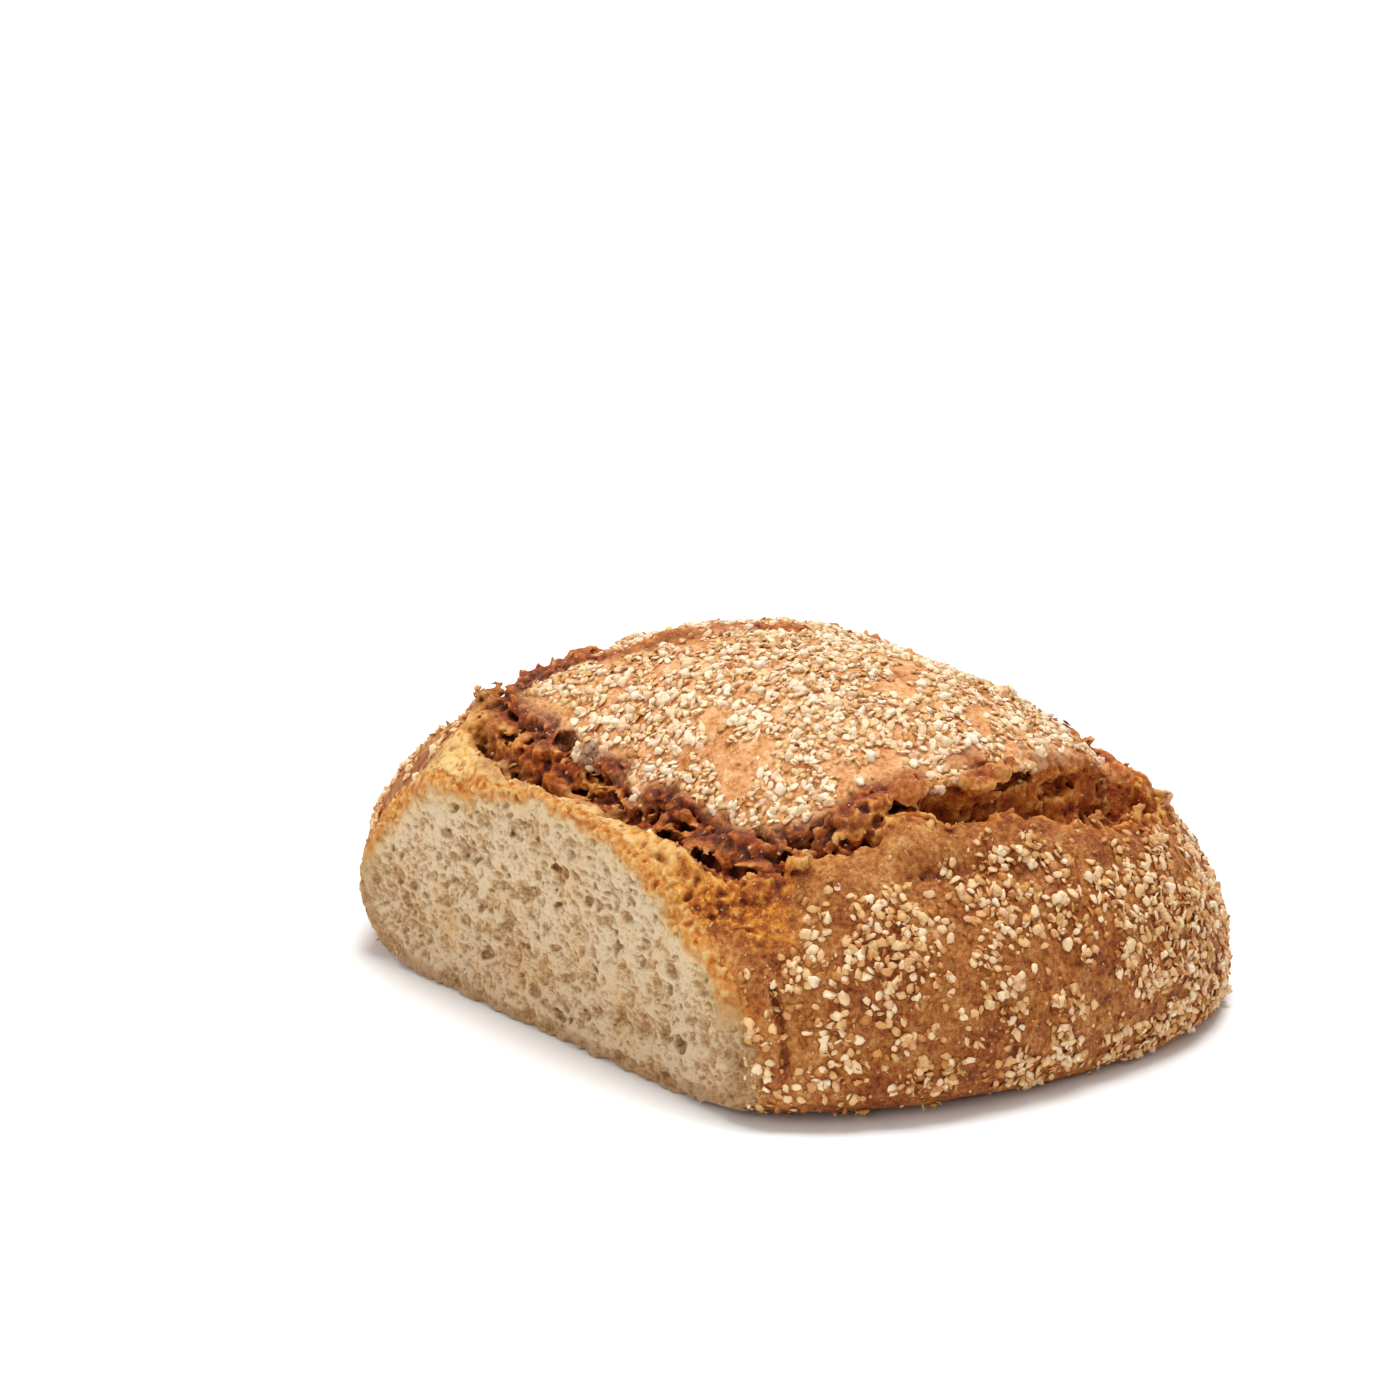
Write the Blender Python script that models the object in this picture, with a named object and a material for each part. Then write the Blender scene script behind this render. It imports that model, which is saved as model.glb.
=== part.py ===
"""Sourdough boule: a seeded round loaf whose square score has opened into a raised lid.

One end is sliced off flat, so that the crumb shows. Lengths are in metres, +Z is up, the cut face
looks towards -X, and the origin is on the floor under the middle of the loaf. The loaf is one solid:
its skin is lofted up through rings, from the foot over the widest line, the shoulder ridge, the torn
valley and the torn cliff to the domed lid. Grain flakes and burnt knobs are fused to that skin.
"""

import math
import random

import bmesh
import bpy
from mathutils import Matrix, Vector, noise
from mathutils.bvhtree import BVHTree

# Driving dimensions. Eight values in a row belong to eight directions, a quarter turn per two:
# end (+X), end-back corner, back (+Y), cut-back corner, cut (-X), cut-front corner, front (-Y),
# front-end corner.
END_REACH = 0.1066
BACK_REACH = 0.1190
FRONT_REACH = 0.1240
CUT_DISTANCE = 0.0863
TORN_CORNER_PLACE = (-0.0863, -0.0475, 0.0545)
TORN_CORNER_FACING = (-1.2, -0.586, 1.0)
OUTLINE_SQUARENESS = 2.5
OUTLINE_SHARE = (0.998, 1.03, 1.0, 0.97, 1.0, 1.025, 1.0, 0.99)

FOOT_SHARE = (0.99, 0.95, 0.90, 0.88, 0.88, 0.872, 0.935, 0.975)
WIDEST_HEIGHT = (0.0115, 0.0220, 0.0280, 0.0210, 0.0060, 0.0090, 0.0160, 0.0115)
RIDGE_HEIGHT = (0.0575, 0.0620, 0.0640, 0.0725, 0.0655, 0.0545, 0.0580, 0.0515)
FRONT_HUMP_RISE = 0.0065
FRONT_HUMP_ANGLE = 4.36
FRONT_HUMP_WIDTH = 0.26
RIDGE_GAP = (0.0160, 0.0130, 0.0110, 0.0080, 0.0170, 0.0120, 0.0080, 0.0110)
WALL_LEAN = (1.38, 1.65, 1.68, 1.18, 1.64, 1.04, 1.60, 1.28)
WALL_FULLNESS = (2.05, 2.15, 1.95, 1.80, 2.05, 1.90, 1.98, 1.92)

LID_END_BACK = Vector((0.0455, 0.0515, 0.0815))
LID_CUT_BACK = Vector((-0.0625, 0.0475, 0.0790))
LID_CUT_FRONT = Vector((-0.0655, -0.0725, 0.0595))
LID_END_FRONT = Vector((0.0535, -0.0890, 0.0640))
LID_SQUARENESS = 7.6
LID_SIDE_LIFT = (0.0045, 0.0, 0.0034, 0.0, -0.0008, 0.0, 0.0145, 0.0)
LID_SIDE_BOW = (0.0014, 0.0, -0.0006, 0.0, 0.0020, 0.0, -0.0065, 0.0)
LID_CROWN = 0.0930
LID_STEPS = (0.03, 0.10, 0.28, 0.50, 0.75)

VALLEY_DROP = 0.0065
VALLEY_SHARE = 0.35
LIP_DROP = 0.0020
LIP_SHARE = 0.70
CLIFF_UNDERCUT = 0.0025
CLIFF_STEPS = ((0.30, 1.0), (0.62, 0.6), (0.86, 0.0))
CRAG_DEPTH = 0.0024
CRAG_LIFT = 0.0012
CRAG_SIZE = 0.0090
CRAG_PLACE = Vector((3.1, 7.7, 1.3))
CRAG_LIFT_PLACE = Vector((9.4, 2.6, 5.8))
SWELL_DEPTH = 0.0012
SWELL_SIZE = 0.0450

AROUND_STEPS = 80
FOOT_STEPS = 3
WALL_STEPS = 6

PORE_COUNT = 22
PORE_WIDTH = (0.0030, 0.0070)
PORE_HEIGHT_SHARE = (1.1, 1.5)
PORE_DEPTH_SHARE = 0.8
PORE_TILT = 0.4
PORE_SINK = 0.5
PORE_SPACING = 0.0130
PORE_RIM_CLEARANCE = 0.0070
FLAKE_LENGTH = (0.0034, 0.0047)
FLAKE_WIDTH_SHARE = (0.70, 0.95)
FLAKE_THICKNESS_SHARE = (0.45, 0.60)
FLAKE_SINK = 0.30
LID_FLAKES = 90
LID_FLAKE_SPACING = 0.0082
LID_FLAKE_FACING = 0.70
WALL_FLAKES = 84
WALL_FLAKE_SPACING = 0.0112
WALL_FLAKE_FACING = -0.35
KNOB_COUNT = 26
KNOB_LENGTH = (0.0055, 0.0095)
KNOB_WIDTH_SHARE = (0.55, 0.80)
KNOB_THICKNESS_SHARE = (0.50, 0.75)
KNOB_SINK = 0.42
RIM_STEPS = 720
FLAKE_LUMPS = 0.10
PORE_LUMPS = 0.15
KNOB_LUMPS = 0.20
CLEARANCE = 0.0010
TRIES_PER_POINT = 60
SEED = 11

FLAKE_STAND = 0.0018
MIDDLE = Vector(((END_REACH + FLAKE_STAND - CUT_DISTANCE) / 2, (BACK_REACH - FRONT_REACH) / 2, 0.0))

SHARP_ANGLE = math.radians(35)
UP = Vector((0.0, 0.0, 1.0))
CRUST_RINGS = FOOT_STEPS + WALL_STEPS
LID_RING = CRUST_RINGS + 2 + len(CLIFF_STEPS)
WALL_CRUST, TORN_CRUST, LID_CRUST, CRUMB, GRAIN = range(5)


def clear_scene():
    for obj in list(bpy.data.objects):
        bpy.data.objects.remove(obj, do_unlink=True)


def plain_material(name, colour, roughness):
    material = bpy.data.materials.new(name)
    material.use_nodes = True
    shader = material.node_tree.nodes["Principled BSDF"]
    shader.inputs["Base Color"].default_value = (*colour, 1.0)
    shader.inputs["Roughness"].default_value = roughness
    material.diffuse_color = (*colour, 1.0)
    return material


def loaf_materials():
    """In the order of the slot numbers above."""
    return [
        plain_material("wall_crust", (0.46, 0.21, 0.07), 0.65),
        plain_material("torn_crust", (0.40, 0.15, 0.035), 0.60),
        plain_material("lid_crust", (0.54, 0.29, 0.13), 0.60),
        plain_material("crumb", (0.70, 0.58, 0.40), 0.85),
        plain_material("grain_flakes", (0.80, 0.64, 0.42), 0.70),
    ]


def signed_power(value, exponent):
    return math.copysign(abs(value) ** exponent, value)


def around(angle, eight):
    """A smooth closed curve through eight values, one for each eighth of a turn."""
    place = (angle / (math.pi / 4)) % 8
    start = int(place)
    t = place - start
    a, b, c, d = (eight[(start + step) % 8] for step in (-1, 0, 1, 2))
    return b + 0.5 * t * (c - a + t * (2 * a - 5 * b + 4 * c - d + t * (3 * (b - c) + d - a)))


def outer_point(angle):
    """The loaf's widest line in plan: an uneven rounded square."""
    power = 2 / OUTLINE_SQUARENESS
    side_reach = BACK_REACH if math.sin(angle) > 0 else FRONT_REACH
    x = END_REACH * signed_power(math.cos(angle), power)
    y = side_reach * signed_power(math.sin(angle), power)
    return Vector((x, y, 0.0)) * around(angle, OUTLINE_SHARE)


def lid_point(angle):
    """The lid's rim: a square with rounded corners at four heights, and sides that lift and bow."""
    u = signed_power(math.cos(angle), 2 / LID_SQUARENESS)
    v = signed_power(math.sin(angle), 2 / LID_SQUARENESS)
    rim = (
        (1 + u) * (1 + v) / 4 * LID_END_BACK
        + (1 - u) * (1 + v) / 4 * LID_CUT_BACK
        + (1 - u) * (1 - v) / 4 * LID_CUT_FRONT
        + (1 + u) * (1 - v) / 4 * LID_END_FRONT
    )
    on_cut_or_end_side = abs(u) > abs(v)
    along = 1 - v * v if on_cut_or_end_side else 1 - u * u
    rim.z += along * around(angle, LID_SIDE_LIFT)
    bow = along * around(angle, LID_SIDE_BOW)
    if on_cut_or_end_side:
        rim.x += math.copysign(bow, u)
    else:
        rim.y += math.copysign(bow, v)
    return rim


def lid_centre():
    return (LID_END_BACK + LID_CUT_BACK + LID_CUT_FRONT + LID_END_FRONT) / 4


def front_hump(angle):
    """The shoulder swells up where it pushes against the lid's front side."""
    off = (angle % math.tau - FRONT_HUMP_ANGLE) / FRONT_HUMP_WIDTH
    return FRONT_HUMP_RISE * math.exp(-off * off)


def section(angle):
    """The loaf's outer line at one angle, from the floor to just short of the lid's crown."""
    outer = outer_point(angle)
    rim = lid_point(angle)
    centre = lid_centre()
    flat_rim = Vector((rim.x, rim.y, 0.0))
    outward = Vector((rim.x - centre.x, rim.y - centre.y, 0.0)).normalized()
    foot = around(angle, FOOT_SHARE)
    widest = around(angle, WIDEST_HEIGHT)
    ridge_height = around(angle, RIDGE_HEIGHT) + front_hump(angle)
    gap = around(angle, RIDGE_GAP)
    points = []
    for step in range(FOOT_STEPS):
        t = step / FOOT_STEPS * math.pi / 2
        points.append(outer * (foot + (1 - foot) * math.sin(t)) + UP * widest * (1 - math.cos(t)))
    for step in range(WALL_STEPS + 1):
        t = step / WALL_STEPS * math.pi / 2
        inwards = max(0.0, math.cos(t)) ** (2 / around(angle, WALL_LEAN))
        rise = math.sin(t) ** (2 / around(angle, WALL_FULLNESS))
        ridge = flat_rim + outward * gap
        points.append(ridge.lerp(outer, inwards) + UP * (widest + (ridge_height - widest) * rise))
    points.append(flat_rim + outward * gap * LIP_SHARE + UP * (ridge_height - LIP_DROP))
    valley = ridge_height - VALLEY_DROP
    points.append(flat_rim + outward * gap * VALLEY_SHARE + UP * valley)
    for share, undercut in CLIFF_STEPS:
        height = valley + (rim.z - valley) * share
        points.append(flat_rim - outward * CLIFF_UNDERCUT * undercut + UP * height)
    for t in LID_STEPS:
        inner = rim.lerp(centre, t)
        inner.z = rim.z + (LID_CROWN - rim.z) * (1 - (1 - t) ** 2)
        points.append(inner)
    return points


def roughened(point, ring):
    """Broad swells over the crust above the floor, and crags where the loaf has torn open."""
    out = up = 0.0
    if ring > 0:
        out = noise.noise(point / SWELL_SIZE) * SWELL_DEPTH
    if ring > CRUST_RINGS:
        up = out
    if CRUST_RINGS <= ring <= LID_RING:
        out += noise.noise(point / CRAG_SIZE + CRAG_PLACE) * CRAG_DEPTH
        up += noise.noise(point / CRAG_SIZE + CRAG_LIFT_PLACE) * CRAG_LIFT
    return point + Vector((point.x, point.y, 0.0)).normalized() * out + UP * up


def skin_material(ring):
    if ring < CRUST_RINGS:
        return WALL_CRUST
    return TORN_CRUST if ring < LID_RING else LID_CRUST


def loaf_skin():
    """The whole closed skin, before the end is cut off."""
    mesh = bmesh.new()
    lines = []
    for step in range(AROUND_STEPS):
        points = section(step / AROUND_STEPS * math.tau)
        lines.append([mesh.verts.new(roughened(point, ring)) for ring, point in enumerate(points)])
    top = mesh.verts.new((lid_centre().x, lid_centre().y, LID_CROWN))
    mesh.faces.new([line[0] for line in reversed(lines)]).material_index = WALL_CRUST
    for step, here in enumerate(lines):
        there = lines[(step + 1) % AROUND_STEPS]
        for ring in range(len(here) - 1):
            face = mesh.faces.new((here[ring], there[ring], there[ring + 1], here[ring + 1]))
            face.material_index = skin_material(ring)
        mesh.faces.new((here[-1], there[-1], top)).material_index = LID_CRUST
    return mesh


def slope_torn_corner(mesh):
    """Slopes the shoulder off at the front end of the cut face, where the crust has torn open."""
    cut = bmesh.ops.bisect_plane(
        mesh,
        geom=mesh.verts[:] + mesh.edges[:] + mesh.faces[:],
        dist=1e-6,
        plane_co=TORN_CORNER_PLACE,
        plane_no=TORN_CORNER_FACING,
        clear_outer=True,
    )["geom_cut"]
    rim = [item for item in cut if isinstance(item, bmesh.types.BMEdge)]
    for face in bmesh.ops.edgeloop_fill(mesh, edges=rim)["faces"]:
        face.material_index = TORN_CRUST


def slice_end(mesh):
    """Cuts the loaf square across at the cut face, and closes it with a flat face of crumb."""
    cut = bmesh.ops.bisect_plane(
        mesh,
        geom=mesh.verts[:] + mesh.edges[:] + mesh.faces[:],
        dist=1e-6,
        plane_co=(-CUT_DISTANCE, 0.0, 0.0),
        plane_no=(-1.0, 0.0, 0.0),
        clear_outer=True,
    )["geom_cut"]
    rim = [item for item in cut if isinstance(item, bmesh.types.BMEdge)]
    for face in bmesh.ops.edgeloop_fill(mesh, edges=rim)["faces"]:
        face.material_index = CRUMB
    bmesh.ops.recalc_face_normals(mesh, faces=mesh.faces[:])


def make_object(name, mesh, materials):
    data = bpy.data.meshes.new(name)
    mesh.to_mesh(data)
    mesh.free()
    for material in materials:
        data.materials.append(material)
    obj = bpy.data.objects.new(name, data)
    bpy.context.scene.collection.objects.link(obj)
    return obj


def bead(size, sink, place, normal, turn, draw, lumps, material):
    """A small lumpy grain of twenty sides, lying on the surface and sunk a share of its height."""
    mesh = bmesh.new()
    bmesh.ops.create_icosphere(mesh, subdivisions=1, radius=0.5)
    for vert in mesh.verts:
        vert.co *= 1 + draw.uniform(-lumps, lumps)
    facing = normal.to_track_quat("Z", "Y").to_matrix().to_4x4()
    resting = place + normal * size.z * (0.5 - sink)
    turned = facing @ Matrix.Rotation(turn, 4, "Z") @ Matrix.Diagonal((*size, 1.0))
    bmesh.ops.transform(mesh, matrix=Matrix.Translation(resting) @ turned, verts=mesh.verts[:])
    for face in mesh.faces:
        face.material_index = material
    return mesh


def clear_of_flats(mesh):
    """Whether a grain keeps off the floor and off the plane of the cut face."""
    off_floor = min(vert.co.z for vert in mesh.verts) > CLEARANCE
    return off_floor and min(vert.co.x for vert in mesh.verts) > -CUT_DISTANCE + CLEARANCE


def surface_points(data, draw, material, facing, spacing, count):
    """Points on the faces of one material that look up enough, each a spacing from those before."""
    data.calc_loop_triangles()
    triangles = []
    for tri in data.loop_triangles:
        if data.polygons[tri.polygon_index].material_index == material and tri.normal.z > facing:
            triangles.append(tri)
    picked = []
    for tri in draw.choices(triangles, weights=[tri.area for tri in triangles], k=count * TRIES_PER_POINT):
        a, b, c = (data.vertices[index].co for index in tri.vertices)
        s, t = draw.random(), draw.random()
        if s + t > 1:
            s, t = 1 - s, 1 - t
        place = a + (b - a) * s + (c - a) * t
        if len(picked) < count and all((place - other).length > spacing for other, _ in picked):
            picked.append((place, tri.normal.copy()))
    return picked


def flakes(loaf, draw):
    """Grain flakes over the lid and, more thinly, over the wall."""
    found = surface_points(loaf.data, draw, LID_CRUST, LID_FLAKE_FACING, LID_FLAKE_SPACING, LID_FLAKES)
    found += surface_points(loaf.data, draw, WALL_CRUST, WALL_FLAKE_FACING, WALL_FLAKE_SPACING, WALL_FLAKES)
    made = []
    for place, normal in found:
        length = draw.uniform(*FLAKE_LENGTH)
        width = length * draw.uniform(*FLAKE_WIDTH_SHARE)
        size = Vector((length, width, length * draw.uniform(*FLAKE_THICKNESS_SHARE)))
        turn = draw.uniform(0, math.tau)
        made.append(bead(size, FLAKE_SINK, place, normal, turn, draw, FLAKE_LUMPS, GRAIN))
    return [mesh for mesh in made if clear_of_flats(mesh)]


def knobs(loaf, draw):
    """Burnt knobs of dough along the lid's rim."""
    tree = BVHTree.FromObject(loaf, bpy.context.evaluated_depsgraph_get())
    rim = [lid_point(step / RIM_STEPS * math.tau) for step in range(RIM_STEPS + 1)]
    travelled = [0.0]
    for here, there in zip(rim, rim[1:]):
        travelled.append(travelled[-1] + (there - here).length)
    made = []
    for step in range(KNOB_COUNT):
        distance = (step + draw.random()) / KNOB_COUNT * travelled[-1]
        index = next(index for index, length in enumerate(travelled) if length >= distance)
        place, normal, _, _ = tree.find_nearest(rim[index])
        length = draw.uniform(*KNOB_LENGTH)
        width = length * draw.uniform(*KNOB_WIDTH_SHARE)
        size = Vector((length, width, length * draw.uniform(*KNOB_THICKNESS_SHARE)))
        turn = draw.uniform(0, math.tau)
        made.append(bead(size, KNOB_SINK, place, normal, turn, draw, KNOB_LUMPS, TORN_CRUST))
    return made


def pores(loaf, draw):
    """Bubbles opened by the knife, taller than wide, well inside the rim of the cut face."""
    corners = [vert.co for vert in loaf.data.vertices]
    crust = [face.vertices for face in loaf.data.polygons if face.material_index != CRUMB]
    skin = BVHTree.FromPolygons(corners, crust)
    made = []
    for place, normal in surface_points(loaf.data, draw, CRUMB, -1.0, PORE_SPACING, 2 * PORE_COUNT):
        if skin.find_nearest(place)[3] < PORE_RIM_CLEARANCE or len(made) == PORE_COUNT:
            continue
        width = PORE_WIDTH[0] + (PORE_WIDTH[1] - PORE_WIDTH[0]) * draw.random() ** 2
        size = Vector((width * draw.uniform(*PORE_HEIGHT_SHARE), width, width * PORE_DEPTH_SHARE))
        turn = draw.uniform(-PORE_TILT, PORE_TILT)
        made.append(bead(size, PORE_SINK, place, normal, turn, draw, PORE_LUMPS, CRUMB))
    return made


def fuse(loaf, meshes, operation, materials):
    """One Boolean of the loaf with a collection of small meshes, applied."""
    group = bpy.data.collections.new(operation)
    bpy.context.scene.collection.children.link(group)
    for index, mesh in enumerate(meshes):
        piece = make_object(f"{operation}_{index}", mesh, materials)
        bpy.context.scene.collection.objects.unlink(piece)
        group.objects.link(piece)
    boolean = loaf.modifiers.new(operation, "BOOLEAN")
    boolean.operand_type = "COLLECTION"
    boolean.collection = group
    boolean.operation = operation
    boolean.solver = "EXACT"
    graph = bpy.context.evaluated_depsgraph_get()
    data = bpy.data.meshes.new_from_object(loaf.evaluated_get(graph))
    loaf.modifiers.clear()
    loaf.data = data
    for piece in list(group.objects):
        bpy.data.objects.remove(piece, do_unlink=True)
    bpy.data.collections.remove(group)


def build_loaf():
    materials = loaf_materials()
    draw = random.Random(SEED)
    mesh = loaf_skin()
    slope_torn_corner(mesh)
    slice_end(mesh)
    loaf = make_object("loaf", mesh, materials)
    grains = knobs(loaf, draw) + flakes(loaf, draw)
    fuse(loaf, pores(loaf, draw), "DIFFERENCE", materials)
    fuse(loaf, grains, "UNION", materials)
    loaf.data.transform(Matrix.Translation(-MIDDLE))
    loaf.data.shade_smooth()
    loaf.data.set_sharp_from_angle(angle=SHARP_ANGLE)
    for face in loaf.data.polygons:
        if face.material_index == CRUMB:
            face.use_smooth = False


clear_scene()
build_loaf()
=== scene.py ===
"""Sourdough boule: the looks of the loaf, grown round the form of its solid.

The loaf is lofted from the same named sizes as the solid and turned into blocks of distances, in which it
gets its rolled and craggy lid rim, torn bubbles, recesses and cracks: a coarse block for the smooth crust
and a fine one for the torn dough. The cut face is a block of its own, full of bubbles. Popped grains,
flakes, husks and crumbs lie on the crust as joined meshes. Lengths are in metres, +Z is up, the cut face
looks towards -X, and the origin is on the floor under the middle of the loaf.
"""

import math
from itertools import product

import bmesh
import bpy
import numpy as np
import openvdb
from mathutils import Matrix, Vector


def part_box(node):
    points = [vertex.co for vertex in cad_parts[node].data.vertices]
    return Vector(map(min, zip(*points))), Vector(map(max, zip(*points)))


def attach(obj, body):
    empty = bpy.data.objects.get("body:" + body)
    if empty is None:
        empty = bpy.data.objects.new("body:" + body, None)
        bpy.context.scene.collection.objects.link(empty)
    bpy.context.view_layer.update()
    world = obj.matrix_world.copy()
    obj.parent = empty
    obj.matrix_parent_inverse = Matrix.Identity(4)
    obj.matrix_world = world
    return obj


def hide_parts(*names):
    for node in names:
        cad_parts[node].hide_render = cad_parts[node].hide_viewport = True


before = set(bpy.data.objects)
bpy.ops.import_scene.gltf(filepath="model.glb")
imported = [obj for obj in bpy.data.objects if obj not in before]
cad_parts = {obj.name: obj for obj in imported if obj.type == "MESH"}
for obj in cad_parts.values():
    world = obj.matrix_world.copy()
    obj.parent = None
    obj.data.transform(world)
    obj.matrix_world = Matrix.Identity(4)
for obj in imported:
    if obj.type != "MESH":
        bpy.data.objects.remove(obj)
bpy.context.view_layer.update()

MM = 0.001

# The form. Eight values in a row belong to eight directions, a quarter turn per two: end (+X),
# end-back corner, back (+Y), cut-back corner, cut (-X), cut-front corner, front (-Y), front-end corner.
END_REACH = 0.1066
BACK_REACH = 0.1190
FRONT_REACH = 0.1240
CUT_DISTANCE = 0.0863
OUTLINE_SQUARENESS = 2.5
OUTLINE_SHARE = (0.998, 1.03, 1.0, 0.97, 1.0, 1.025, 1.0, 0.99)

FOOT_SHARE = (0.99, 0.95, 0.90, 0.88, 0.88, 0.872, 0.935, 0.975)
WIDEST_HEIGHT = (0.0115, 0.0220, 0.0280, 0.0210, 0.0060, 0.0090, 0.0160, 0.0115)
RIDGE_HEIGHT = (0.0575, 0.0620, 0.0640, 0.0725, 0.0655, 0.0545, 0.0580, 0.0515)
FRONT_HUMP_RISE = 0.0065
FRONT_HUMP_ANGLE = 4.36
FRONT_HUMP_WIDTH = 0.26
RIDGE_GAP = (0.0160, 0.0130, 0.0110, 0.0080, 0.0170, 0.0120, 0.0080, 0.0110)
WALL_LEAN = (1.38, 1.65, 1.68, 1.18, 1.64, 1.04, 1.60, 1.28)
WALL_FULLNESS = (2.05, 2.15, 1.95, 1.80, 2.05, 1.90, 1.98, 1.92)

LID_END_BACK = np.array((0.0455, 0.0515, 0.0815))
LID_CUT_BACK = np.array((-0.0625, 0.0475, 0.0790))
LID_CUT_FRONT = np.array((-0.0655, -0.0725, 0.0595))
LID_END_FRONT = np.array((0.0535, -0.0890, 0.0640))
LID_SQUARENESS = 7.6
LID_SIDE_LIFT = (0.0045, 0.0, 0.0034, 0.0, -0.0008, 0.0, 0.0145, 0.0)
LID_SIDE_BOW = (0.0014, 0.0, -0.0006, 0.0, 0.0020, 0.0, -0.0065, 0.0)
LID_CROWN = 0.0930
VALLEY_DROP = 0.0065
VALLEY_SHARE = 0.35
LIP_DROP = 0.0020
LIP_SHARE = 0.70
CLIFF_UNDERCUT = 0.0025
CLIFF_STEPS = ((0.30, 1.0), (0.62, 0.6), (0.86, 0.0))
LID_STEPS = (0.03, 0.07, 0.12, 0.2, 0.28, 0.4, 0.5, 0.62, 0.75, 0.88)

FLAKE_STAND = 0.0018
MIDDLE = np.array(((END_REACH + FLAKE_STAND - CUT_DISTANCE) / 2, (BACK_REACH - FRONT_REACH) / 2, 0.0))
CUT_X = -CUT_DISTANCE - MIDDLE[0]
UP = np.array((0.0, 0.0, 1.0))

AROUND_STEPS = 480
FOOT_STEPS = 10
WALL_STEPS = 24

# The torn slope above the cut face, along Y: the height of the crumb's edge and how steeply the dough
# rises behind it, in millimetres to the millimetre.
SLOPE_Y = np.array((-96, -80, -71, -62, -54, -45, -36, -26, -13, -3, 14, 32, 44, 56)) * MM
SLOPE_EDGE = np.array((34, 36, 41, 46.5, 51.5, 56, 60.5, 63, 63.5, 64.5, 62.5, 58, 60, 70)) * MM
SLOPE_RISE = np.array((1.8, 1.8, 1.8, 1.4, 1.1, 0.8, 0.5, 0.5, 0.5, 0.6, 0.9, 1.1, 1.2, 1.4))

# The blocks of distances.
SMOOTH_CELL = 1.1 * MM
TORN_CELL = 0.66 * MM
CRUMB_CELL = 0.50 * MM
CRUST_REACH = 6.0 * MM
CRUST_MARGIN = 8 * MM
FOOT_SPARE = 5.0 * MM
SEAM_OVERLAP = 1.0 * MM
SKIN_INSET = 0.9 * MM
CRUMB_DEPTH = 6.0 * MM
RIM_WALL = 1.3 * MM
POCKET_WALL = 5.0 * MM
RIM_RECESS = 3.2 * MM
CRUMB_INSET = 0.15 * MM
CRUMB_LAP = 3.0 * MM
HIDDEN_DEPTH = 0.9 * MM
TOP_CLEARANCE = 0.2 * MM
# Reaches for the painted shade in hollows, and the depth over which the crumb's painted light fades.
HOLLOW_REACHES = (2.2 * MM, 1.1 * MM)
CRUMB_HOLLOW_REACH = 1.2 * MM
CRUMB_PROUD_DEPTH = 2.6 * MM
PLAN_CELL = 1.0 * MM
PLAN_LOW = (-0.12, -0.14)
PLAN_SHAPE = (240, 280)
RIM_STEPS = 360
# How far the finely meshed crust reaches from the rim, the ridge, the cut face, the slope's edge and the
# burnt crest, how low it goes, and the margin beyond it that is grown in the same small cubes.
FINE_INSIDE_RIM = 8 * MM
FINE_OUTSIDE_RIDGE = 4 * MM
FINE_BEHIND_CUT = 3.5 * MM
FINE_LOWEST = 36 * MM
FINE_SLOPE_DEPTH = 14 * MM
FINE_BELOW_EDGE = 7 * MM
FINE_ROUND_CREST = 8 * MM
FINE_MARGIN = 4 * MM
# Where the crust is split into pieces: the lid's lowest height, and the torn crust's halves along Y.
LID_LOWEST = 40 * MM
TORN_SPLIT_Y = -20 * MM
# The middle of the foot, first where the crust's own mesh leaves it out and then where wide squares fill
# it: a height, how deep the loaf is around a point at that height, and how far behind the cut face. Then
# the height up to which the crust's own mesh counts as its foot, and the size and height of the squares.
FOOT_HOLE = (6.0 * MM, 5.4 * MM, 9 * MM)
FOOT_FILLING = (3.0 * MM, 2.6 * MM, 7 * MM)
FOOT_THICKNESS = 0.5 * MM
BASE_CELL = 3.0 * MM
BASE_LIFT = 0.03 * MM

# What is added to the crust and taken out of it. Places, radii and sizes are in millimetres: a knob has a
# place and a radius, a recess a place and three radii. Two values in a row are the ends of a range.
KNOB_COUNT = 110
KNOB_RADII = (1.2, 2.4)
RIDGE_KNOBS = 150
RIDGE_KNOB_RADII = (1.3, 2.8)
SPIKE_COUNT = 34
SPIKE_LENGTHS = (2.5, 4.5)
SPIKE_RADII = (1.2, 2.0)
RECESS_COUNT = 12
RECESS_DROPS = (5.5, 8.0)
RECESS_RADII = (1.8, 3.4)
RECESS_LEAST_X = -60 * MM
TORN_BUBBLES = 460
SMALL_BUBBLES, LARGE_BUBBLES = (0.5, 1.0), (1.0, 1.8)
SMALL_SHARE = 0.85
ASHEN_KNOB = (-75.5, 0.5, 71.5, 3.3)
PLACED_KNOBS = (
    ASHEN_KNOB, (-73, 47, 79.5, 2.8), (-69, -58, 58, 3.0), (-52, -80, 60, 2.6), (-68, 43, 78.5, 3.0),
    (-60, 43, 81, 2.4), (-56, 44, 82, 2.2), (-51, 38, 84.5, 2.4), (-47, 31, 86.5, 2.0), (-44, 38, 86, 1.8),
    (-37, 29, 88, 2.0), (-25, 24, 89, 1.9), (-17, 22, 89.5, 2.2), (-11, 21, 89.5, 2.3), (-6, 17, 90, 2.4),
    (-3, 11, 90, 2.3), (14, -3, 88.5, 2.0), (15, -39, 85.5, 1.8), (22, -52, 82, 1.8), (42, -66, 75.5, 2.2),
    (-74.5, 45.5, 75.5, 3.0),
)
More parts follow.
